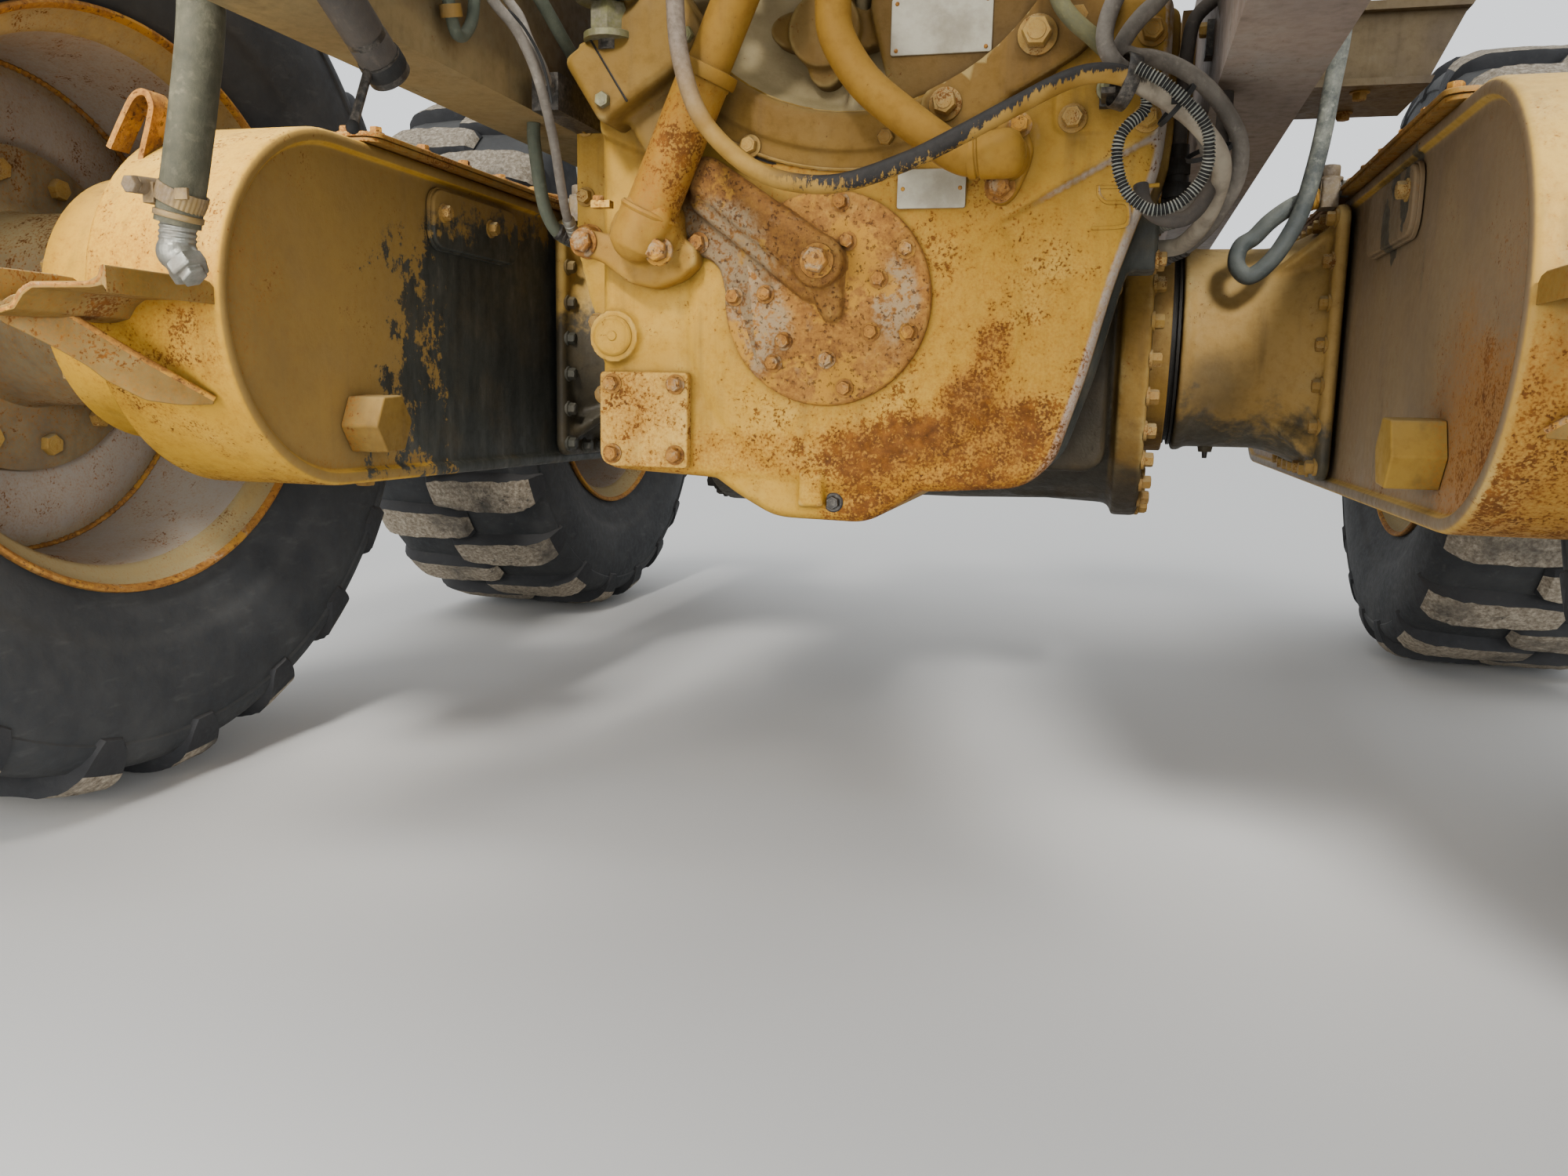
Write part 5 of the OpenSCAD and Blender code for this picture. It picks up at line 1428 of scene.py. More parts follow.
# ---------------------------------------------------------------- covers of the gear case
def build_covers():
    s = Shape()
    c = (-.024, .020)
    disc = [(c[0] + .1178 * math.cos(t * math.pi / 48), c[1] + .1178 * math.sin(t * math.pi / 48)) for t in range(96)]
    slab(s, disc, "y", -.6958, -.672, .0045)
    tongue = [(-.085, -.045), (-.138, .010), (-.150, .056), (-.166, .067), (-.188, .070), (-.202, .079), (-.206, .092), (-.200, .104),
              (-.200, .128), (-.182, .152), (-.150, .152), (-.070, .118), (.02, .05)]
    slab(s, rounded(tongue, .012), "y", -.6925, -.672, .0045)
    slab(s, capsule((-.0275, .0579), (-.160, .150), .0270, .0235, 12), "y", -.7200, -.685, .012)
    slab(s, capsule((-.040, .035), (-.165, .128), .0180, .0170, 12), "y", -.7090, -.685, .010)
    slab(s, capsule((-.0285, .058), (-.0148, .0069), .0240, .0130, 12), "y", -.7080, -.685, .009)
    slab(s, [(-.0285 + .0285 * math.cos(t * math.pi / 18), .058 + .0285 * math.sin(t * math.pi / 18)) for t in range(36)], "y", -.7235, -.69, .006)
    ob = cast("round_cover_body", s, [M["cover"], M["arm"]], 0.0030, 2, 0.5, 0.5)
    for p in ob.data.polygons:
        q = p.center - OFF
        if q.y < -.6975 or (q.x < -.085 and q.z > .01):
            p.material_index = 1
    edge_wear(ob)
    done(ob, "chassis", "rusty_iron", "round_cover")
    b = Shape()
    for x, z in ((-.0092, .1232), (-.0001, .0816), (.0652, .0726), (.0361, .0413), (-.1297, .0223), (-.0929, .0248), (-.0708, -.0268),
                 (.0292, -.0158), (.071, -.0164), (-.0205, -.0461), (.001, -.0777), (-.0822, -.0512)):
        b.bolt((x, -.6952, z), (0, -1, 0), .0070, .0085, 0)
    b.bolt((-.1742, -.6920, .0821), (0, -1, 0), .0082, .010, 0)
    b.bolt((-.0275, -.7232, .0579), (0, -1, 0), .0125, .012, 0)
    ob = to_object("round_cover_bolts", b, [M["bolt_rust"], M["square"]])
    close(ob)
    done(ob, "chassis", "rusty_iron")
    q = Shape()
    pl = rounded([(-.296, -.063), (-.186, -.063), (-.186, -.174), (-.296, -.174)], [.006, .006, .006, .020], 6)
    slab(q, pl, "y", -.6922, -.678, .0022, 0)
    for x, z in ((-.280, -.077), (-.201, -.077), (-.280, -.159), (-.201, -.159)):
        q.bolt((x, -.6920, z), (0, -1, 0), .0078, .0085, 1)
    ob = to_object("square_cover", q, [M["square"], M["bolt_rust"]])
    close(ob)
    done(ob, "chassis", "yellow_paint", "corner_cover")


build_covers()


def build_block_and_pipes():
    s = Shape()
    m = Matrix.Translation((-.309, 0, .261)) @ Matrix.Rotation(math.radians(-33), 4, "Y")
    # block: local x along its length, local z up across it

    def local(poly):
        return [tuple(v) for v in poly]
    t = Shape()
    slab(t, local(round_rect((0, -.070), (.150, .014), .010)), "y", -.7500, -.684, .009)
    slab(t, local(round_rect((.020, -.120), (.110, -.060), .012)), "y", -.7180, -.684, .009)
    slab(t, local(round_rect((.060, .0), (.150, .10), .010)), "y", -.7420, -.694, .009)
    s.join(t, m)
    slab(s, rounded([(-.128, .345), (-.066, .345), (-.066, .408), (-.128, .408)], .010), "y", -.776, -.694, .008)
    slab(s, rounded([(-.272, .352), (-.070, .352), (-.070, .378), (-.272, .378)], .006), "y", -.712, -.690, .004)
    ob = cast("valve_block_body", s, [M["block"]], 0.0034, 2, 0.45, 0.5)
    edge_wear(ob)
    done(ob, "chassis", "yellow_casting", "valve_block")

    f = Shape()
    # parting grooves drawn as dark seams, plugs and the hex fittings on top
    for a, b in (((.040, .0120), (.040, -.069)),):
        p = [m @ Vector((q[0], -.7500, q[1])) for q in (a, b)]
        f.tube(p, .0013, 6, 2)
    for q in ((.018, -.052), (.132, -.052)):
        f.bolt(m @ Vector((q[0], -.7498, q[1])), (0, -1, 0), .0075, .007, 1, False)
    for x, zt, r, mat in ((-.262, .292, .0185, 1), (-.262, .333, .0245, 1)):
        f.bolt((x, -.742, zt), (0, 0, 1), r, .030, mat, True, .3)
    f.cyl((-.262, -.742, .280), (-.262, -.742, .40), .0125, None, 20, 3)
    f.cyl((-.262, -.742, .372), (-.262, -.742, .470), .0165, None, 20, 3)
    ob = to_object("block_fittings", f, [M["block"], M["olive"], M["soot"], M["steel"]])
    close(ob)
    done(ob, "chassis", "yellow_paint")

    # oil pipe: rusty lower sleeve, thinner upper pipe, cast foot
    a, b = Vector((-.228, -.726, .092)), Vector((-.096, -.746, .372))
    o = Shape()
    ln = (b - a).length
    d = (b - a) / ln

    def turned(prof, n, mat):
        o.revolve(prof, a, d, n, mat)
    turned([(.0006, .010), (.0292, .010), (.0296, .012), (.0290, .04), (.0288, ln * .540), (.0300, ln * .546), (.0300, ln * .556),
            (.0282, ln * .562), (.0006, ln * .562)], 48, 0)
    turned([(.0006, ln * .555), (.0335, ln * .555), (.0345, ln * .560), (.0345, ln * .592), (.0335, ln * .600), (.0245, ln * .604),
            (.0240, ln * .62), (.0240, ln * 1.0), (.0006, ln * 1.0)], 48, 1)
    for h in (.021,):
        turned([(.0290, h - .004), (.0335, h - .003), (.0350, h), (.0335, h + .003), (.0290, h + .004)], 40, 2)
    ob = to_object("oil_pipe_tube", o, [M["pipe"], M["bent"], M["pipe"]])
    close(ob)
    done(ob, "chassis", "yellow_paint", "oil_pipe")
    g = Shape()
    slab(g, rounded([(-.3238, .0833), (-.3189, .0937), (-.3061, .0979), (-.2771, .0922), (-.1888, .0884), (-.1719, .0746), (-.1698, .0574),
                     (-.1903, .0404), (-.2205, .0301), (-.253, .0363), (-.2868, .0601), (-.3092, .0682), (-.321, .0745)], .006, 3), "y", -.7120, -.682, .007)
    slab(g, rounded([(-.2577, .1186), (-.1861, .0988), (-.1905, .0753), (-.208, .0603), (-.253, .071), (-.27, .0933)], .010, 3), "y", -.7350, -.69, .008)
    slab(g, capsule((-.2340, .084), (-.2200, .104), .0270, .0310, 12), "y", -.7540, -.69, .016)
    g.cyl(a - d * .022, a + d * .022, .033, .0335, 30)
    ob = cast("oil_pipe_foot", g, [M["pipe"]], 0.0032, 3, 0.5, 0.5)
    edge_wear(ob)
    done(ob, "chassis", "yellow_paint")
    h = Shape()
    h.bolt((-.2062, -.7348, .0688), (0, -1, 0), .0110, .011, 0)
    h.bolt((-.3065, -.7118, .0820), (0, -1, 0), .0110, .011, 0)
    # small ear beside the sleeve
    h.box((-.291, -.728, .118), (-.268, -.716, .126), 1)
    h.bolt((-.284, -.722, .1255), (0, 0, 1), .0060, .006, 0, False)
    ob = to_object("oil_pipe_clamp", h, [M["bolt_rust"], M["square"]], 0.0008, 1)
    close(ob)
    done(ob, "chassis", "yellow_paint")

    # bent pipe into its cast elbow
    p = Shape()
    line = [(-.014, -.742, .400), (-.014, -.742, .345), (-.0128, -.742, .3176), (-.0095, -.742, .2867), (.0070, -.742, .2560), (.0293, -.742, .2294),
            (.0631, -.742, .2020), (.0966, -.740, .1775), (.1180, -.735, .1640), (.1340, -.729, .1592), (.150, -.728, .1605)]
    p.tube(spline(line, 6), .0190, 28, 0)
    ob = to_object("bent_pipe_tube", p, [M["bent"]])
    close(ob)
    done(ob, "chassis", "yellow_paint", "bent_pipe")
    q = Shape()
    dd = Vector((1, 0, .10)).normalized()
    q.revolve([(.0006, 0), (.0205, 0), (.0215, .002), (.0215, .0075), (.0198, .0092), (.0198, .0108), (.0224, .0126), (.0240, .026), (.0250, .038),
               (.0240, .047), (.0190, .0545), (.0100, .0585), (.0006, .0595)], (.131, -.728, .159), dd, 48, 0)
    slab(q, rounded([(.1758, .2037), (.1901, .1915), (.1968, .1718), (.1921, .1523), (.1798, .1249), (.168, .1156), (.1547, .1191), (.1489, .1375),
                     (.1517, .1478), (.1559, .1966)], .006, 3), "y", -.7020, -.686, .005)
    q.cyl((.168, -.728, .1635), (.168, -.69, .1635), .0235, .026, 32)
    ob = to_object("pipe_elbow", q, [M["bent"]])
    close(ob)
    done(ob, "chassis", "yellow_paint")
    r = Shape()
    r.bolt((.1634, -.7018, .134), (0, -1, 0), .0108, .011, 0)
    r.bolt((.1810, -.7018, .1955), (0, -1, 0), .0085, .009, 0)
    ob = to_object("elbow_bolts", r, [M["bolt_rust"]])
    close(ob)
    done(ob, "chassis", "yellow_paint")


build_block_and_pipes()


# ---------------------------------------------------------------- final drive and pivots
def build_final_drive():
    s = Shape()
    prof = [(.0006, -.560), (.1195, -.560), (.1195, -.345), (.150, -.342), (.262, -.3405), (.265, -.338), (.265, -.302), (.262, -.2995),
            (.249, -.298), (.246, -.285), (.242, -.20), (.246, -.06), (.246, .06), (.242, .20), (.246, .285), (.249, .298),
            (.262, .2995), (.265, .302), (.265, .338), (.262, .3405), (.150, .342), (.1195, .345), (.1195, .560), (.0006, .560)]
    s.revolve(prof, (0, 0, 0), (1, 0, 0), 110, 0)
    slab(s, round_rect((-.286, -.185), (.286, .168), .03), "y", -.262, -.08, .008)
    slab(s, round_rect((-.289, -.138), (.289, .178), .02), "z", .268, .10, .006)
    s.cyl((0, .18, 0), (0, .2885, 0), .086, .068, 40)
    for k in range(10):
        a = math.radians(36 * k + 18)
        for sg in (-1, 1):
            m = Matrix.Rotation(a, 4, "X")
            s.box((sg * .298, -.006, .235), (sg * .150, .006, .2475), 0, m)
    ob = cast("final_drive_body", s, [M["drive"]], 0.0055, 2, 0.32, 0.5)
    edge_wear(ob)
    done(ob, "chassis", "yellow_casting", "final_drive_housing")
    b = Shape()
    for sg in (-1, 1):
        for k in range(30):
            a = math.radians(12 * k + 6)
            b.bolt((sg * .3404, .2505 * math.cos(a), .2505 * math.sin(a)), (sg, 0, 0), .0095, .0125, 3 if sg < 0 and math.sin(a) < .15 else 0, True, a)
        # dark seal between the flange and the pivot housing
        b.revolve([(.1195, .3440), (.1600, .3440), (.1600, .3690), (.1585, .3705), (.1195, .3705)], (0, 0, 0), (sg, 0, 0), 72, 2)
        b.revolve([(.1195, .3700), (.1480, .3700), (.1480, .3740), (.1430, .3745), (.1430, .3790), (.1500, .3795), (.1500, .3835), (.1195, .3835)],
                  (0, 0, 0), (sg, 0, 0), 72, 1)
    for k in range(8):
        a = math.radians(45 * k)
        b.bolt((.056 * math.cos(a), .2880, .056 * math.sin(a)), (0, 1, 0), .0075, .008, 0)
    b.bolt((0, .288, 0), (0, 1, 0), .0140, .012, 0)
    ob = to_object("final_drive_bolts", b, [M["bolt"], M["soot"], M["drive"], M["soot"]])
    close(ob)
    done(ob, "chassis", "yellow_casting")


build_final_drive()


def pivot_shape():
    s = Shape()
    s.revolve([(.1206, .3855), (.1560, .3855), (.1580, .3875), (.1580, .3975), (.1545, .4010), (.1520, .4060), (.1515, .5050),
               (.1545, .5250), (.1640, .5520), (.1770, .5760), (.1770, .5940), (.1206, .5940)], (0, 0, 0), (1, 0, 0), 96, 0)
    slab(s, round_rect((-.1915, -.1915), (.1915, .1915), .026), "x", .5765, .5948, .0035)
    for k in range(4):
        m = Matrix.Rotation(math.radians(45 + 90 * k), 4, "X")
        s.prism([(.500, .145), (.515, .158), (.578, .232), (.590, .232), (.590, .14)], "y", -.009, .009, 0, m)
    return s


def pivot_details():
    b = Shape()
    row = [-.171, -.114, -.057, 0.0, .057, .114, .171]
    for t in row:
        for y, z in ((-.176, t), (.176, t), (t, -.176), (t, .176)):
            if abs(y) == .176 or abs(t) < .17:
                b.bolt((.5767, y, z), (-1, 0, 0), .0085, .0105, 0, True, .52)
    # grease fitting and its boss on the tube
    b.cyl((.440, 0, -.150), (.440, 0, -.160), .012, .010, 18, 1)
    b.cyl((.440, 0, -.160), (.440, 0, -.170), .0045, .0035, 12, 2)
    b.cyl((.420, .110, .100), (.420, .118, .108), .011, .009, 16, 1)
    return b


def case_shape(side):
    """Tandem case of the right side, with its spindle housings."""
    s = Shape()
    half, r = AXLE, .205
    out = []
    for i in range(41):
        a = math.radians(-90 + 180 * i / 40)
        out.append((half + r * math.cos(a), r * math.sin(a)))
    for i in range(1, 24):
        out.append((half - 2 * half * i / 24, r))
    for i in range(41):
        a = math.radians(90 + 180 * i / 40)
        out.append((-half + r * math.cos(a), r * math.sin(a)))
    for i in range(1, 24):
        out.append((-half + 2 * half * i / 24, -r))
    lip = [(.0260, .6028), (.0215, .6028), (.0188, .6020), (.0172, .5998), (.0160, .5968), (.0138, .5954), (.0085, .5950), (.0040, .5960),
           (.0012, .5985), (.0000, .6030), (.0000, .680), (.0000, .7570), (.0012, .7615), (.0040, .7640), (.0085, .7648), (.0135, .7646),
           (.0160, .7636), (.0180, .7608), (.0230, .7600)]
    rng = random.Random(11)
    rings = []
    for d, x in lip:
        rings.append([(x, p[0], p[1]) for p in inset(out, d)])
    loft(s, rings, 0)
    # lip bands wear differently
    for e in (-1, 1):
        c = (0, e * AXLE, 0)
        s.revolve([(.0006, .758), (.170, .758), (.172, .762), (.168, .7675), (.1585, .7700), (.1550, .7760), (.1550, .8040), (.1535, .8055),
                   (.1535, .8075), (.1555, .8090), (.1555, .8690), (.1530, .8718), (.1300, .8724), (.1275, .8745), (.1270, .8800),
                   (.1270, .8980), (.1245, .9000), (.0006, .9000)], c, (1, 0, 0), 80, 0)
        s.weld([(.7665, e * AXLE + .1605 * math.cos(t * math.pi / 60), .1605 * math.sin(t * math.pi / 60)) for t in range(121)], .0060, 1, 5 + e)
        for k in range(14):
            a = math.radians(360 / 14 * k + 9)
            s.bolt((.8722, e * AXLE + .1415 * math.cos(a), .1415 * math.sin(a)), (1, 0, 0), .0068, .007, 2, True, a)
        # hex jacking block
        hexa = [(e * .722 + .0388 * math.cos(math.radians(60 * k + 4)), -.131 + .0388 * math.sin(math.radians(60 * k + 4))) for k in range(6)]
        slab(s, rounded(hexa, .003, 3), "x", .5524, .6015, .0028, 3)
        # inspection plate with its gasket edge
        y0, y1 = sorted((e * .318, e * .556))
        pl = round_rect((y0, .100), (y1, .177), .024)
        slab(s, pl, "x", .5912, .6010, .0030, 0)
        slab(s, inset(pl, -.003), "x", .5965, .6010, .001, 0)
        spots = [(y0 + .022, .146), (-.405, .143)] if side == "left" else [(y0 + .026, .150)]
        for yy, zz in spots if e < 0 else ((y0 + .022, .140), (y1 - .022, .140)):
            s.bolt((.5914, yy, zz), (-1, 0, 0), .0085, .0095, 2, True, yy * 9)
    # drain plugs below; the weld where the flange sits is drawn with each spindle housing above
    for e in (-1, 1):
        s.bolt((.68, e * .60, -.2048), (0, 0, -1), .0115, .010, 2)
    return s


def cover_shape():
    s = Shape()
    lo = round_rect((.5835, -.7025), (.7765, .7025), .020)
    hi = round_rect((.5812, -.7048), (.7788, .7048), .022)
    slab(s, lo, "z", .2052, .2100, .0008, 0)
    slab(s, inset(hi, .006), "z", .2098, .2114, .0002, 1)
    slab(s, hi, "z", .2168, .2112, .0016, 0)
    n = 14
    for i in range(n):
        y = -.680 + 1.36 * i / (n - 1)
        for x in (.5945, .7655):
            s.bolt((x, y, .2166), (0, 0, 1), .0070, .0068, 2, True, y * 7)
    for x in (.63, .68, .73):
        for y in (-.690, .690):
            s.bolt((x, y, .2166), (0, 0, 1), .0070, .0068, 2, True, y * 7)
    # filler plugs
    for y in (-.42, .42):
        s.bolt((.66, y, .2166), (0, 0, 1), .0170, .012, 2, True)
    return s


def step_shape(side):
    s = Shape()
    # pressed tread: turned-up edges at both sides and a dip along the outside
    prof = [(.6005, .0168), (.6058, .0168), (.6098, .0070), (.6210, .0023), (.6858, .0023), (.7008, -.0051), (.7108, -.0171), (.7278, -.0212),
            (.7500, -.0212), (.7601, -.0121), (.7612, .0198), (.7668, .0198), (.7658, -.0160), (.7530, -.0268), (.7260, -.0268), (.7070, -.0229),
            (.6960, -.0099), (.6850, -.0034), (.6180, -.0034), (.6040, -.0010), (.6005, -.0090)]
    prof = rounded(prof, .0022, 3)
    n = len(prof)
    rows = []
    for y, d in ((-1.1048, .0008), (-1.1042, .0), (-1.1030, .0)):
        rows.append([(x, y, z) for x, z in inset(prof, d)])
    # front corners of the turned-up edges are rounded off
    for y in (-1.08, -1.04, -1.00, -.980, -.972, -.966, -.962):
        drop = max(0.0, (y + .990) / .030) ** 2 * .017
        rows.append([(x, y, min(z, max(.0030, .0200 - drop)) if z > .003 else z) for x, z in prof])
    loft(s, rows, 0)
    # the bright cut edge at the rear
    s.m[len(s.m) - 1] = s.m[-1]
    edge = [(x, -1.1050, z) for x, z in ((.6030, .0150), (.6060, .0080), (.6150, .0010), (.6500, -.0005), (.6850, -.0005), (.6990, -.0075), (.7090, -.0200),
                                       (.7270, -.0240), (.7510, -.0240), (.7620, -.0140), (.7640, .0180))]
    s.tube(spline([(x, -1.1034, z) for x, _, z in edge], 4), .0022, 8, 1)
    # brace: a leaf shaped plate that stands slanted below
    leaf = [(-.7437, -1.0508, -.0031), (-.7108, -1.0212, -.0328), (-.6713, -.9857, -.0675), (-.626, -.9449, -.1029), (-.6251, -.9441, -.1095),
            (-.6483, -.965, -.1108), (-.6729, -.9871, -.1065), (-.6983, -1.01, -.0874), (-.711, -1.0214, -.0723), (-.7299, -1.0384, -.0562),
            (-.7537, -1.0598, -.0384), (-.7635, -1.0687, -.0323), (-.7655, -1.0705, -.0180), (-.7560, -1.0620, -.0060)]
    flat = rounded([((abs(x) - .615) * 1.3454, z) for x, y, z in leaf], .006, 3)
    t = Shape()
    slab(t, flat, "y", -.0032, .0032, .0016, 0, both=True)
    t.tube(spline([(u, 0, z) for u, z in ((.0135, -.1040), (.0740, -.0670), (.1270, -.0325), (.1660, -.0050))], 4), .0040, 10, 1)
    s.join(t, Matrix.Translation((.615, -.935, 0)) @ Matrix.Rotation(math.radians(-42), 4, "Z"))
    # strap hook on top of the case end
    prof = [(.7823, .1644), (.7681, .1867), (.7530, .2088), (.7455, .2168), (.7379, .2202), (.7305, .2192), (.7262, .2140), (.7239, .2052),
            (.7262, .1954), (.7294, .1854), (.7358, .1678), (.7420, .1490), (.7450, .1250)]
    pts = spline([(x, -.900, z) for x, z in prof], 3)
    sec = []
    for i, p in enumerate(pts):
        tq = (pts[min(i + 1, len(pts) - 1)] - pts[max(i - 1, 0)]).normalized()
        nn = Vector((tq.z, 0, -tq.x)) * .0034
        sec.append([(p.x - nn.x, -.9000, p.z - nn.z), (p.x - nn.x, -.8740, p.z - nn.z), (p.x, -.8730, p.z), (p.x + nn.x, -.8740, p.z + nn.z),
                    (p.x + nn.x, -.9000, p.z + nn.z), (p.x, -.9010, p.z)])
    loft(s, sec, 1)
    s.weld([(.610, -1.0955, .008), (.610, -1.00, .010), (.610, -.935, .010)], .0045, 1, 3)
    return s


for side, sg in (("right", 1), ("left", -1)):
    def put(shape):
        return shape if sg > 0 else shape.mirrored()
    body = "tandem_" + side
    ob = cast(f"pivot_body_{side}", put(pivot_shape()), [M["pivot"] if sg > 0 else M["pivot_left"]], 0.0048, 2, 0.42, 0.5)
    edge_wear(ob)
    done(ob, body, "yellow_paint", f"pivot_housing_{side}")
    ob = to_object(f"pivot_bolts_{side}", put(pivot_details()), [M["bolt"] if sg > 0 else M["bolt_dark"], M["pivot"], M["steel"]])
    close(ob)
    done(ob, body, "yellow_paint")
    ob = to_object(f"case_vis_{side}", put(case_shape(side)), [M["case_" + side], M["case_" + side], M["bolt"], M["jack_" + side], M["edge"]])
    close(ob)
    done(ob, body, "yellow_paint", f"tandem_case_{side}")
    ob = to_object(f"cover_vis_{side}", put(cover_shape()), [M["cover_edge"], M["soot"], M["bolt_rust"]])
    close(ob)
    done(ob, body, "rusty_iron", f"tandem_cover_{side}")
    ob = to_object(f"step_vis_{side}", put(step_shape(side)), [M["step"], M["edge"]])
    close(ob)
    done(ob, body, "yellow_paint", f"step_{side}")


# ---------------------------------------------------------------- hoses
def route(pts):
    return [Vector((x / 1000, y / 1000, z / 1000)) for x, y, z in pts]


def store(ob, name, values):
    at = ob.data.attributes.new(name, "FLOAT", "POINT")
    at.data.foreach_set("value", np.asarray(values, dtype=np.float32))


MAIN_ROUTE = [[-180, -692, 650], [-180, -725, 649], [-178, -765, 630], [-174, -792, 590], [-170, -800, 530], [-168, -800, 460],
              [-167, -800, 390], [-165, -800, 310], [-158, -800, 251], [-136, -800, 194], [-92, -800, 150], [-46, -800, 129],
              [12, -800, 125], [79, -800, 144], [130, -798, 167], [178, -795, 191], [235, -786, 219], [275, -774, 224],
              [310, -757, 211], [350, -746, 186], [378, -729, 156], [382, -706, 130], [372, -655, 100], [354, -594, 86], [330, -580, 84]]
CONDUIT = [[295, -785, 226], [321, -785, 211], [348, -779, 189], [362, -772, 172], [366, -766, 155], [366, -760, 139],
           [359, -755, 123], [344, -755, 107], [327, -755, 100], [311, -755, 102], [295, -755, 114], [285, -755, 132],
           [281, -755, 152], [283, -755, 170], [292, -753, 183], [303, -749, 193]]
GREY_A = [[375, -735, 400], [352, -738, 398], [318, -746, 365], [290, -754, 330], [272, -758, 300], [264, -760, 277],
          [263, -760, 258], [270, -757, 243], [284, -747, 233], [312, -735, 222], [345, -727, 200], [366, -712, 172],
          [371, -690, 147], [358, -655, 126], [344, -610, 112], [330, -600, 110]]
GREY_B = [[375, -700, 372], [356, -702, 370], [332, -712, 335], [311, -720, 305], [296, -725, 289], [284, -730, 272],
          [279, -733, 258], [290, -726, 252], [310, -714, 252], [336, -706, 244], [362, -698, 228], [384, -692, 204],
          [400, -684, 176], [402, -670, 146], [393, -645, 122], [380, -612, 102], [362, -568, 88], [345, -552, 81],
          [330, -550, 79]]
LEFT_A = [[-375, -882, 362], [-360, -880, 354], [-350, -865, 328], [-344, -850, 305], [-331, -830, 285], [-325, -810, 264],
          [-322, -790, 238], [-322, -770, 209], [-326, -745, 180], [-334, -715, 149], [-343, -680, 118], [-347, -645, 95],
          [-346, -620, 84]]
LEFT_B = [[-375, -820, 350], [-362, -812, 340], [-352, -800, 320], [-339, -800, 303], [-328, -800, 278], [-321, -785, 256],
          [-326, -765, 249], [-334, -740, 244]]
LEFT_C = [[-375, -735, 372], [-364, -733, 366], [-354, -728, 348], [-348, -710, 331], [-342, -690, 312], [-338, -668, 296],
          [-336, -645, 282], [-336, -620, 272]]
LEFT_D = [[-404, -640, 232], [-404, -640, 214], [-401, -640, 190], [-397, -639, 160], [-391, -636, 130], [-382, -626, 108],
          [-372, -606, 98], [-358, -600, 98]]
BRAKE = [[566, -170, 456], [563, -170, 400], [556, -172, 340], [550, -176, 285], [542, -180, 236], [530, -185, 183],
         [515, -190, 147], [493, -194, 112], [467, -195, 92], [450, -188, 108], [454, -178, 134], [472, -168, 148],
         [492, -164, 170], [518, -157, 190], [540, -149, 201], [556, -146, 204]]


def build_main_hose():
    s = Shape()
    line = spline(route(MAIN_ROUTE), 8)
    n = 24
    s.tube(line, .0094, n, 0)
    ob = to_object("main_hose_vis", s, [M["main"]])
    cum = [0.0]
    for p, q in zip(line, line[1:]):
        cum.append(cum[-1] + (q - p).length)
    along, side = [], []
    for i, p in enumerate(line):
        for k in range(n):
            v = Vector(s.v[i * n + k]) - p
            d = v.normalized()
            along.append(cum[i])
            side.append(max(0, min(1, .5 + .5 * (d.z * .9 - d.y * .25))))
    store(ob, "along", along)
    store(ob, "side", side)
    done(ob, "chassis", "hose_rubber", "main_hose")
    return [(round(c, 3), tuple(round(float(x), 3) for x in p)) for c, p in zip(cum, line)][::8]


build_main_hose()


def build_conduit():
    s = Shape()
    # the last run passes up under the clamp
    fine = resample(spline(route(CONDUIT + [[306, -750, 203], [303, -754, 213], [297, -759, 222]]), 10), .00070)
    step = .0036
    heights = []
    acc = 0.0
    for i in range(len(fine)):
        acc = i * .00070
        ph = (acc / step) % 1.0
        heights.append(1.0 if ph < .50 else .80)
    n = 16
    s.tube(fine, .0060, n, 0, True, lambda i, k, at: heights[i])
    # grooves are black, ridges pale: the black is painted shade in the folds
    base = 2
    for i in range(len(fine) - 1):
        low = heights[i] < .9 or heights[i + 1] < .9
        for k in range(n):
            s.m[base + i * n + k] = 1 if low else 0
    ob = to_object("conduit_vis", s, [M["conduit"], M["black"]])
    done(ob, "chassis", "hose_rubber", "conduit_loop")


build_conduit()


def plain_hose(name, pts, r, mat, body="chassis", nodes=(), extra=None, n=18):
    s = Shape()
    s.tube(spline(route(pts), 7), r, n, 0)
    mats = [mat, M["zinc"], M["bolt_rust"], M["steel"], M["olive"]]
    if extra:
        extra(s)
    ob = to_object(name, s, mats)
    close(ob)
    return done(ob, body, "hose_rubber", *nodes)


def ferrule(s, a, b, r, mat=1, hexed=True):
    """Crimped sleeve from a to b with a hex behind it."""
    a, b = Vector(a) / 1000, Vector(b) / 1000
    d = (b - a).normalized()
    ln = (b - a).length
    rings = [(r * 1.02, 0)]
    k = 0
    while k < 4:
        z0 = ln * (.08 + .20 * k)
        rings += [(r * 1.28, z0), (r * 1.28, z0 + ln * .11), (r * 1.16, z0 + ln * .13), (r * 1.16, z0 + ln * .18)]
        k += 1
    rings += [(r * 1.30, ln * .90), (r * 1.22, ln)]
    s.chamfered(a, d, rings, 24, mat)
    if hexed:
        s.bolt(b, d, r * 1.25, r * 1.1, mat, False)


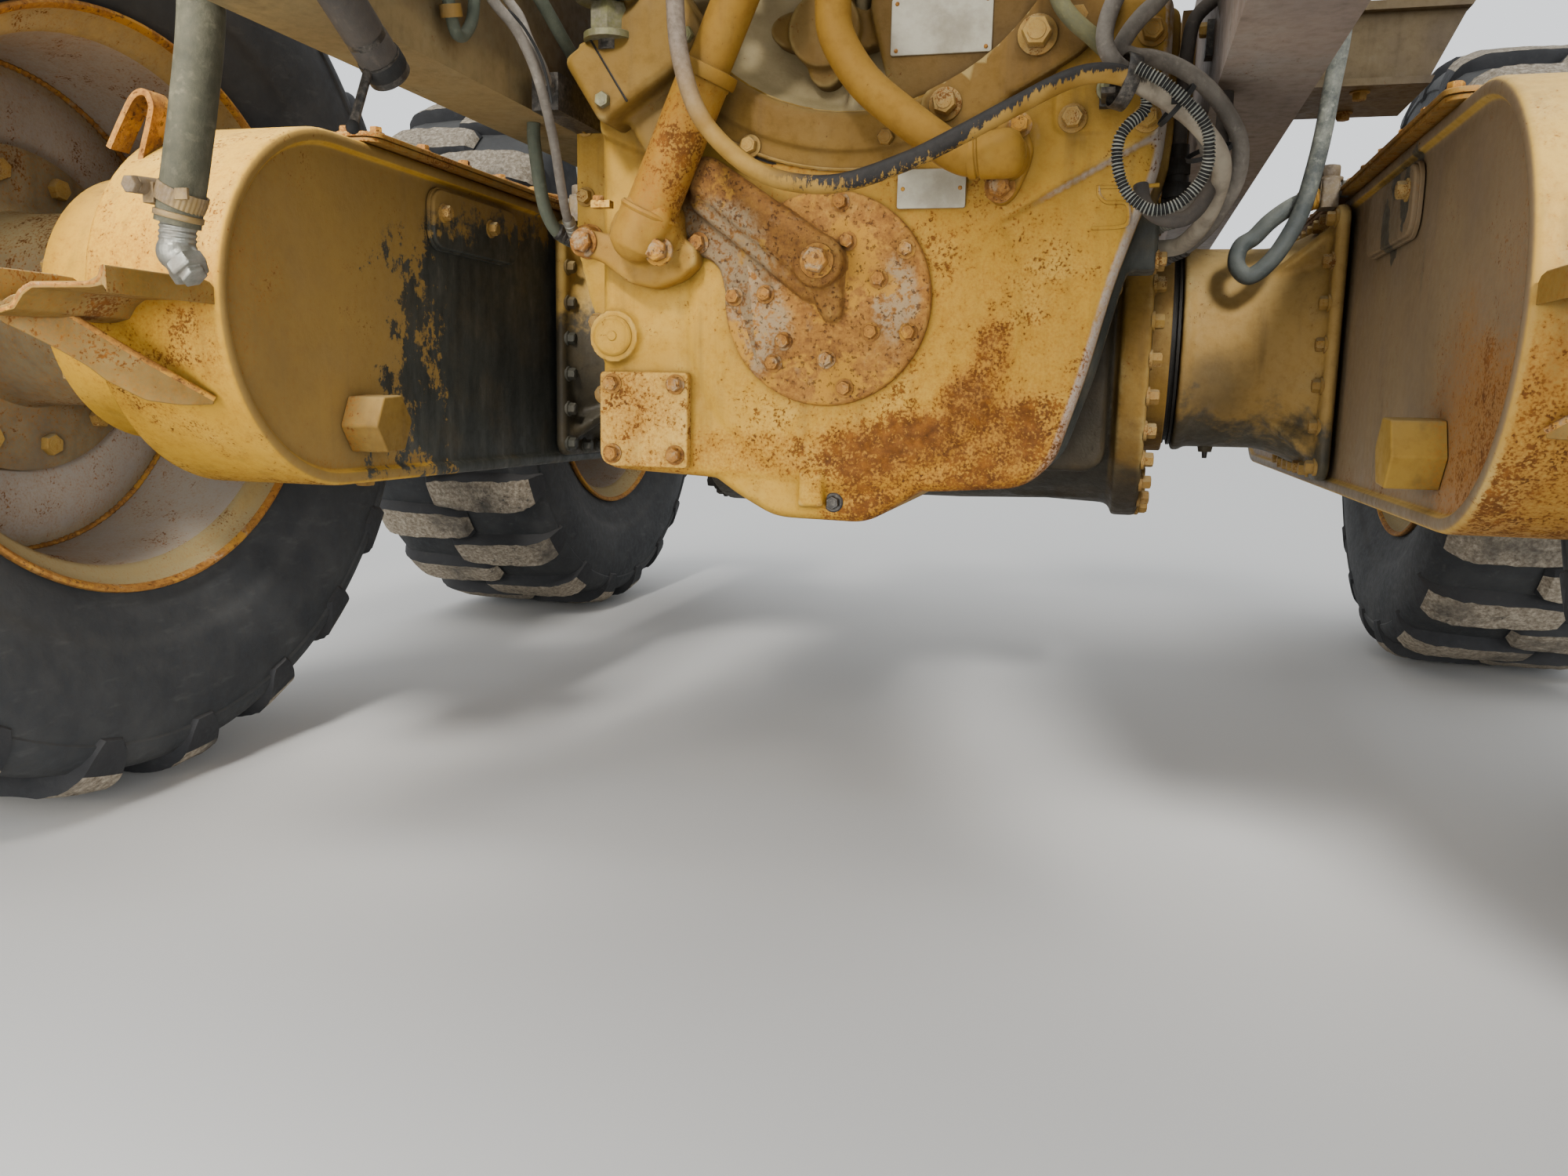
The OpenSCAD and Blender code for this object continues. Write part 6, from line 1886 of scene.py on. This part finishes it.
plain_hose("grey_hose_a", GREY_A, .0085, M["hose_grey"], nodes=("grey_hoses",),
           extra=lambda s: (ferrule(s, (344, -610, 112), (331, -601, 110), .0085), ferrule(s, (352, -738, 398), (371, -735.5, 400), .0085)))
plain_hose("grey_hose_b", GREY_B, .0085, M["hose_grey"],
           extra=lambda s: (ferrule(s, (362, -568, 88), (340, -551.5, 80), .0085, 3), ferrule(s, (356, -702, 370), (371, -700.5, 371.5), .0085)))
plain_hose("braided_hose", [[205, -722, 360], [210, -726, 335], [216, -730, 308], [230, -730, 289], [249, -728, 273], [261, -720, 264], [270, -712, 258], [276, -703, 257]],
           .0088, M["braid"])
plain_hose("black_loop", [[306, -716, 130], [310, -722, 112], [322, -726, 99], [338, -726, 94], [354, -722, 98], [368, -715, 116], [378, -690, 150], [384, -668, 190], [386, -650, 240], [384, -640, 300], [372, -640, 352]],
           .0078, M["hose_dark"])
plain_hose("dark_hose_rail", [[372, -600, 340], [352, -604, 318], [346, -612, 280], [345, -612, 240], [345, -609, 205], [345, -606, 186]], .0075, M["hose_dark"])
plain_hose("left_hose_a", LEFT_A, .0055, M["hose_grey"], nodes=("left_hoses",),
           extra=lambda s: (ferrule(s, (-344, -675, 115), (-347, -645, 95), .0058), ferrule(s, (-360, -880, 354), (-373, -881.5, 361), .0058)))
plain_hose("left_hose_b", LEFT_B, .0050, M["hose_grey"], extra=lambda s: ferrule(s, (-328, -758, 247.5), (-334, -740, 244), .0050, 3))
plain_hose("left_hose_c", LEFT_C, .0075, M["hose_green"], extra=lambda s: ferrule(s, (-337, -652, 286), (-336, -624, 273), .0075, 3))
plain_hose("left_hose_d", LEFT_D, .0080, M["hose_green"], extra=lambda s: ferrule(s, (-382, -626, 108), (-366, -603, 98), .0080, 3))
plain_hose("left_wire", [[-350, -842, 310], [-342, -838, 300], [-331, -836, 296], [-322, -824, 284], [-312, -812, 262], [-306, -806, 240], [-303, -800, 214]],
           .0016, M["black"], n=8)


def build_clamps():
    s = Shape()
    # P clamp that gathers the bundle, its tab and bolt
    at, d = Vector((.284, -.764, .224)), Vector((1, .35, -.28)).normalized()
    s.revolve([(.0250, -.0075), (.0268, -.0070), (.0268, .0070), (.0250, .0075)], at + Vector((0, .012, -.002)), d, 40, 0)
    s.box((.262, -.752, .212), (.276, -.700, .218), 0)
    s.box((.260, -.706, .210), (.278, -.694, .244), 0)
    s.bolt((.269, -.706, .227), (0, -1, 0), .0085, .010, 1)
    # cable tie with its head further along, and a tie wire
    at2, d2 = Vector((.334, -.752, .198)), Vector((.75, .2, -.6)).normalized()
    s.revolve([(.0225, -.0024), (.0236, -.0024), (.0236, .0024), (.0225, .0024)], at2, d2, 32, 2)
    s.box(at2 + Vector((-.006, -.0285, -.004)), at2 + Vector((.004, -.021, .005)), 2)
    at3, d3 = Vector((.369, -.716, .160)), Vector((.3, .35, -.9)).normalized()
    s.revolve([(.0215, -.0024), (.0226, -.0024), (.0226, .0024), (.0215, .0024)], at3, d3, 32, 2)
    # dark connector stack behind the hoses
    for z0, z1, r in ((.120, .134, .013), (.134, .150, .0165), (.150, .158, .0125), (.158, .176, .0150), (.176, .190, .011)):
        s.cyl((.345, -.604, z0), (.345, -.604, z1), r, None, 6 if r > .014 else 20, 3)
    s.cyl((.330, -.604, .127), (.345, -.604, .127), .010, None, 16, 3)
    ob = to_object("hose_clamps", s, [M["steel"], M["olive"], M["black"], M["soot"]], 0.0008, 1)
    close(ob)
    done(ob, "chassis", "dark_steel")


build_clamps()


# ---------------------------------------------------------------- brake hoses that cross the pivots
for side, sg in (("right", 1), ("left", -1)):
    pts = [[sg * x, y, z] for x, y, z in BRAKE]
    s = Shape()
    s.tube(spline(route(pts), 8), .0118, 22, 0)
    ob = to_object(f"brake_hose_vis_{side}", s, [M["brake"]])
    close(ob)
    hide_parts(f"brake_hose_{side}")
    p, q = Vector(pts[0]) / 1000 + OFF, Vector(pts[-1]) / 1000 + OFF
    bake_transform(ob)
    f = Shape()
    ferrule(f, (sg * 530, -153, 196), (sg * 555.5, -146, 204), .0118, 0, False)
    x0, x1 = sorted((sg * .5562, sg * .5800))
    slab(f, round_rect((x0, -.166), (x1, -.126), .004), "z", .2282, .188, .003, 1)
    for k in range(4):
        f.box((min(sg * .5546, sg * .5562), -.162 + .0095 * k, .194), (max(sg * .5546, sg * .5562), -.1565 + .0095 * k, .225), 1)
    f.bolt((sg * .5685, -.146, .2275), (0, 0, 1), .0115, .016, 1, True)
    f.cyl((sg * .579, -.146, .212), (sg * .5935, -.146, .212), .0085, None, 20, 2)
    f.tube(spline([(sg * .592, -.146, .2235), (sg * .600, -.150, .2265), (sg * .612, -.170, .2270), (sg * .618, -.22, .2265), (sg * .620, -.34, .2260)], 6), .0052, 12, 3)
    f.cyl((sg * .590, -.146, .212), (sg * .590, -.146, .226), .0078, None, 6, 2)
    ob = to_object(f"brake_fitting_{side}", f, [M["square"], M["fitting"], M["zinc"], M["bolt_rust"]], .0006, 1)
    close(ob)
    done(ob, "tandem_" + side, "dark_steel")
    g = Shape()
    ferrule(g, (sg * 566, -170, 430), (sg * 566, -170, 470), .0118, 0, True)
    ob = to_object(f"brake_end_{side}", g, [M["zinc"]])
    close(ob)
    done(ob, "chassis", "dark_steel")


# ---------------------------------------------------------------- drain hose, its clamp and elbow
DRAIN = [[-500, -1080, 362], [-500, -1080, 340], [-500, -1080, 318], [-500.5, -1080, 296], [-501, -1080, 274], [-502, -1080, 252],
         [-504, -1080, 230], [-507, -1080, 208], [-511, -1080, 186], [-515.5, -1080, 164], [-520, -1080, 142], [-525, -1080, 120],
         [-530, -1080, 98], [-535.5, -1080, 76], [-541, -1080, 54]]


def build_drain():
    s = Shape()
    pts = route(DRAIN)
    s.tube(spline(pts, 4), .0200, 40, 0)
    hose = to_object("drain_hose_vis", s, [M["drain"]])
    close(hose)
    done(hose, "chassis", "hose_rubber", "drain_hose")

    c = Shape()
    at, along = Vector((-.5352, -1.080, .078)), Vector((-.24, 0, -.97)).normalized()
    d = Vector((-.44, 0, -.90)).normalized()
    n = 96
    # slotted band
    u, w = frame_of(d)
    rings = []
    for k in range(n):
        a = 2 * math.pi * k / n
        r = .0224 if k % 3 else .0217
        e = math.cos(a) * u + math.sin(a) * w
        rings.append([at + e * .0198 - d * .0075, at + e * r - d * .0078, at + e * (r + .0004), at + e * r + d * .0078, at + e * .0198 + d * .0075])
    m = 5
    vs = [p for r in rings for p in r]
    fs = [(k * m + j, k * m + (j + 1) % m, ((k + 1) % n) * m + (j + 1) % m, ((k + 1) % n) * m + j) for k in range(n) for j in range(m)]
    c.add(vs, fs, 0)
    # worm housing at the left with its screw, band tail at the right
    h = at + Vector((-.018, -.015, .003))
    c.cyl(h + Vector((-.006, -.014, .004)), h + Vector((-.006, .012, .006)), .0078, None, 16, 0)
    c.bolt(h + Vector((-.006, -.0135, .004)), (0, -1, -.1), .0072, .008, 0, False)
    c.box(at + Vector((-.026, -.018, -.007)), at + Vector((-.014, .006, .011)), 0)
    c.box(at + Vector((.013, -.0235, -.006)), at + Vector((.0265, -.0205, .004)), 0, None)
    # second, thinner band
    c.revolve([(.0200, -.003), (.0216, -.0026), (.0216, .0026), (.0200, .003)], at + along * .0170, along, 40, 0)
    clamp = to_object("drain_clamp", c, [M["clamp"]], .0006, 1)
    close(clamp)
    done(clamp, "chassis", "zinc")

    e = Shape()
    a0, a1, a2 = Vector((-.5395, -1.080, .060)), Vector((-.543, -1.080, .030)), Vector((-.522, -1.083, .006))
    e.cyl(a0 + Vector((.001, 0, .016)), a0, .0166, None, 32, 0)
    d1 = (a1 - a0).normalized()
    for k in range(4):
        e.chamfered(a0 + d1 * (.002 + .005 * k), d1, [(.0148, 0), (.0166, .0012), (.0158, .0030), (.0148, .0044)], 28, 0)
    e.cyl(a0, a1 + Vector((0, 0, .002)), .0146, .0152, 28, 0)
    e.ball(a1, .0178, 24, 0)
    d2 = (a2 - a1).normalized()
    e.cyl(a1, a1 + d2 * .022, .0162, .0158, 28, 0)
    # six sided nut and the plug
    e.bolt(a1 + d2 * .014, d2, .0160, .012, 0, False, .2)
    e.bolt(a1 + d2 * .0262, d2, .0105, .006, 0, False, .4)
    elbow = cast("drain_elbow_vis", e, [M["zinc"]], 0.0009, 1, 0.5, 0.4)
    done(elbow, "chassis", "zinc", "drain_elbow")
    off = [float(v) for v in OFF]
    path = [[p[0] + off[0], p[1] + off[1], p[2] + off[2]] for p in pts]
    length = sum((Vector(q) - Vector(p)).length for p, q in zip(path, path[1:]))
    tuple(path[0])


build_drain()


# ---------------------------------------------------------------- rails and the rest of the frame, carried over
def dress(node, mat, width=.0025, angle=40):
    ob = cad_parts[node]
    ob.data.materials.clear()
    ob.data.materials.append(mat)
    for p in ob.data.polygons:
        p.material_index = 0
    md = ob.modifiers.new("edges", "BEVEL")
    md.width = width
    md.segments = 2
    md.limit_method = "ANGLE"
    md.angle_limit = math.radians(angle)
    md.harden_normals = False
    return ob


dress("rail_left", M["rail_left"], .0035)
dress("rail_right", M["rail_right"], .0035)
dress("hitch_frame", M["frame"], .003)
dress("rear_bumper", M["frame"], .003)
dress("rear_crossmember", M["frame"], .003)
dress("axle_saddle", M["frame"], .003)
dress("platform_brackets", M["bracket"], .002)
dress("pipe_stubs", M["steel"], .0008)


def build_frame_details():
    s = Shape()
    rng = random.Random(3)
    for sg in (-1, 1):
        # weld beads where stiffeners and the cross members meet the webs
        for y in (-1.35, -.85, -.42, .42, .85):
            for dy in (-.0085, .0085):
                s.weld([(sg * .390, y + dy, .252), (sg * .390, y + dy, .470)], .0045, 0, int(y * 100) + 7)
        for z in (.2645, .3795):
            s.weld([(sg * .3745, -1.298, z), (sg * .3745, -1.192, z)], .0050, 0, 4)
        s.weld([(sg * .3745, -1.3015, .265), (sg * .3745, -1.3015, .380)], .0050, 0, 5)
        s.weld([(sg * .3745, -1.1885, .265), (sg * .3745, -1.1885, .380)], .0050, 0, 6)
        # saddle bolts through the web
        for y in (-.15, -.05, .06, .16):
            for z in (.345, .425):
                s.bolt((sg * .3890, y, z), (sg, 0, 0), .0135, .014, 1)
                s.bolt((sg * .3548, y, z), (-sg, 0, 0), .0135, .012, 1)
        # platform bracket bolts
        for y in (.12, .26):
            s.bolt((sg * .500, y, .4053), (0, 0, -1), .0100, .010, 1)
            s.bolt((sg * .640, y, .4053), (0, 0, -1), .0100, .010, 1)
            s.bolt((sg * .640, y, .4160), (0, 0, 1), .0100, .010, 1)
        # pipe clips along the web
        for y in (-.95, -.55):
            s.box((sg * .3675, y - .012, .292), (sg * .3752, y + .012, .330), 2)
            s.bolt((sg * .3672, y, .322), (-sg, 0, 0), .0070, .007, 1, False)
    # bumper bolts' edge rings and two weld beads across the bumper
    for x in (-.15, .15):
        for z in (.262, .422):
            s.revolve([(.0132, -.0015), (.0250, -.0015), (.0250, .0015), (.0132, .0015)], (x, -1.6895, z), (0, 1, 0), 32, 2)
    for z in (.3018, .4002):
        s.weld([(-.066, -1.6895, z), (.066, -1.6895, z)], .0050, 0, 2)
    # hitch side plates' welds and pin retainer bolts
    for sg in (-1, 1):
        s.weld([(sg * .232, 1.2115, .215), (sg * .232, 1.2115, .500)], .0055, 0, 9)
        s.weld([(sg * .372, 1.149, .232), (sg * .470, 1.149, .232)], .0050, 0, 10)
    for z, d in ((.2698, -1), (.6702, 1)):
        for k in range(6):
            a = math.radians(60 * k + 30)
            s.bolt((.070 * math.cos(a), 1.45 + .070 * math.sin(a), z), (0, 0, d), .0090, .0080, 1)
    ob = to_object("frame_details", s, [M["frame"], M["bolt"], M["steel"]])
    close(ob)
    done(ob, "chassis", "frame_paint")
    # capped cylinder under the left rail: dark cap with its stud, rod, bent pipe and clamp
    c = Shape()
    p0, p1 = Vector((-.355, -1.115, .249)), Vector((-.355, -1.034, .197))
    dd = (p1 - p0).normalized()
    c.chamfered(p0 + dd * .003, dd, [(.0170, 0), (.0182, .002), (.0182, .060), (.0176, .062), (.0176, .066), (.0184, .068), (.0184, .0890), (.0178, .0905)], 40, 0)
    cap = p1 - dd * .006
    c.chamfered(cap, dd, [(.0190, 0), (.0200, .0014), (.0200, .0125), (.0188, .0165), (.0120, .0180), (.0075, .0182)], 40, 1)
    c.chamfered(cap + dd * .018, dd, [(.0060, -.002), (.0060, .006), (.0045, .0075)], 20, 2)
    c.cyl((-.36, -1.047, .188), (-.36, -1.073, .135), .0042, None, 14, 2)
    c.ball((-.36, -1.0735, .134), .0062, 14, 1)
    c.tube(spline([(-.360, -.9170, .330), (-.360, -.9086, .2876), (-.360, -.8990, .2650), (-.360, -.8904, .2601), (-.360, -.8780, .2650), (-.360, -.8616, .2869), (-.360, -.855, .330)], 6),
           .0062, 16, 3)
    c.revolve([(.0066, -.006), (.0110, -.006), (.0110, .006), (.0066, .006)], (-.360, -.905, .279), (0, .3, -.95), 24, 4)
    ob = to_object("capped_cylinder", c, [M["hose_dark"], M["black"], M["steel"], M["hose_green"], M["frame"]])
    close(ob)
    done(ob, "chassis", "dark_steel")
    # a small orange tab glimpsed at the right
    t = Shape()
    t.box((.4745, -1.02, .300), (.478, -.99, .330), 1)
    ob = to_object("rail_tab", t, [M["frame"], M["orange"]], .001, 1)
    done(ob, "chassis", "frame_paint")


build_frame_details()


# ---------------------------------------------------------------- stage, lights, end
def stage():
    me = bpy.data.meshes.new("floor")
    z = -0.9055
    me.from_pydata([(-40, -40, z), (40, -40, z), (40, 60, z), (-40, 60, z)], [], [(0, 1, 2, 3)])
    ob = bpy.data.objects.new("floor", me)
    bpy.context.scene.collection.objects.link(ob)
    mat = bpy.data.materials.new("floor")
    mat.use_nodes = True
    b = mat.node_tree.nodes["Principled BSDF"]
    b.inputs["Base Color"].default_value = (0.56, 0.555, 0.54, 1)
    b.inputs["Roughness"].default_value = 0.9
    me.materials.append(mat)

    world = bpy.data.worlds.new("studio")
    bpy.context.scene.world = world
    world.use_nodes = True
    bg = world.node_tree.nodes["Background"]
    bg.inputs[0].default_value = (0.90, 0.93, 0.96, 1)
    bg.inputs[1].default_value = 1.40

    def area(name, at, aim, size, power, colour=(1, 1, 1)):
        la = bpy.data.lights.new(name, "AREA")
        la.shape, la.size, la.energy, la.color = "DISK", size, power, colour
        lo = bpy.data.objects.new(name, la)
        lo.location = at
        lo.rotation_euler = (Vector(aim) - Vector(at)).to_track_quat("-Z", "Y").to_euler()
        lo.visible_camera = False
        bpy.context.scene.collection.objects.link(lo)

    def spot(name, at, aim, deg, power, colour=(1, 1, 1)):
        la = bpy.data.lights.new(name, "SPOT")
        la.energy, la.color, la.spot_size, la.spot_blend, la.shadow_soft_size = power, colour, math.radians(deg), 0.9, 0.35
        lo = bpy.data.objects.new(name, la)
        lo.location = at
        lo.rotation_euler = (Vector(aim) - Vector(at)).to_track_quat("-Z", "Y").to_euler()
        lo.visible_camera = False
        bpy.context.scene.collection.objects.link(lo)

    area("key", (-2.3, -6.2, 0.45), (0.0, -2.2, -0.35), 2.6, 200, (1.0, 0.98, 0.94))
    area("fill", (3.0, -5.2, -0.05), (-0.5, -2.1, -0.3), 2.4, 95, (0.96, 0.98, 1.0))
    spot("left_wheel", (-0.05, -3.90, -0.15), (-1.12, -2.35, -0.33), 20, 130, (1.0, 0.99, 0.97))
    area("bounce_left", (-0.30, -3.35, -0.78), (-1.05, -2.36, -0.30), 0.5, 6, (1.0, 0.99, 0.97))
    spot("left_top", (-0.7, -4.7, 1.7), (-0.74, -2.30, -0.05), 26, 1300, (1.0, 0.97, 0.92))
    spot("right_top", (1.5, -4.6, 1.5), (0.86, -2.36, -0.15), 26, 950, (1.0, 0.98, 0.95))
    sun = bpy.data.lights.new("sky_sun", "SUN")
    sun.energy, sun.angle, sun.color = 0.7, math.radians(25), (1.0, 0.97, 0.92)
    so = bpy.data.objects.new("sky_sun", sun)
    so.rotation_euler = Vector((0.35, 0.55, -1.0)).to_track_quat("-Z", "Y").to_euler()
    bpy.context.scene.collection.objects.link(so)


stage()
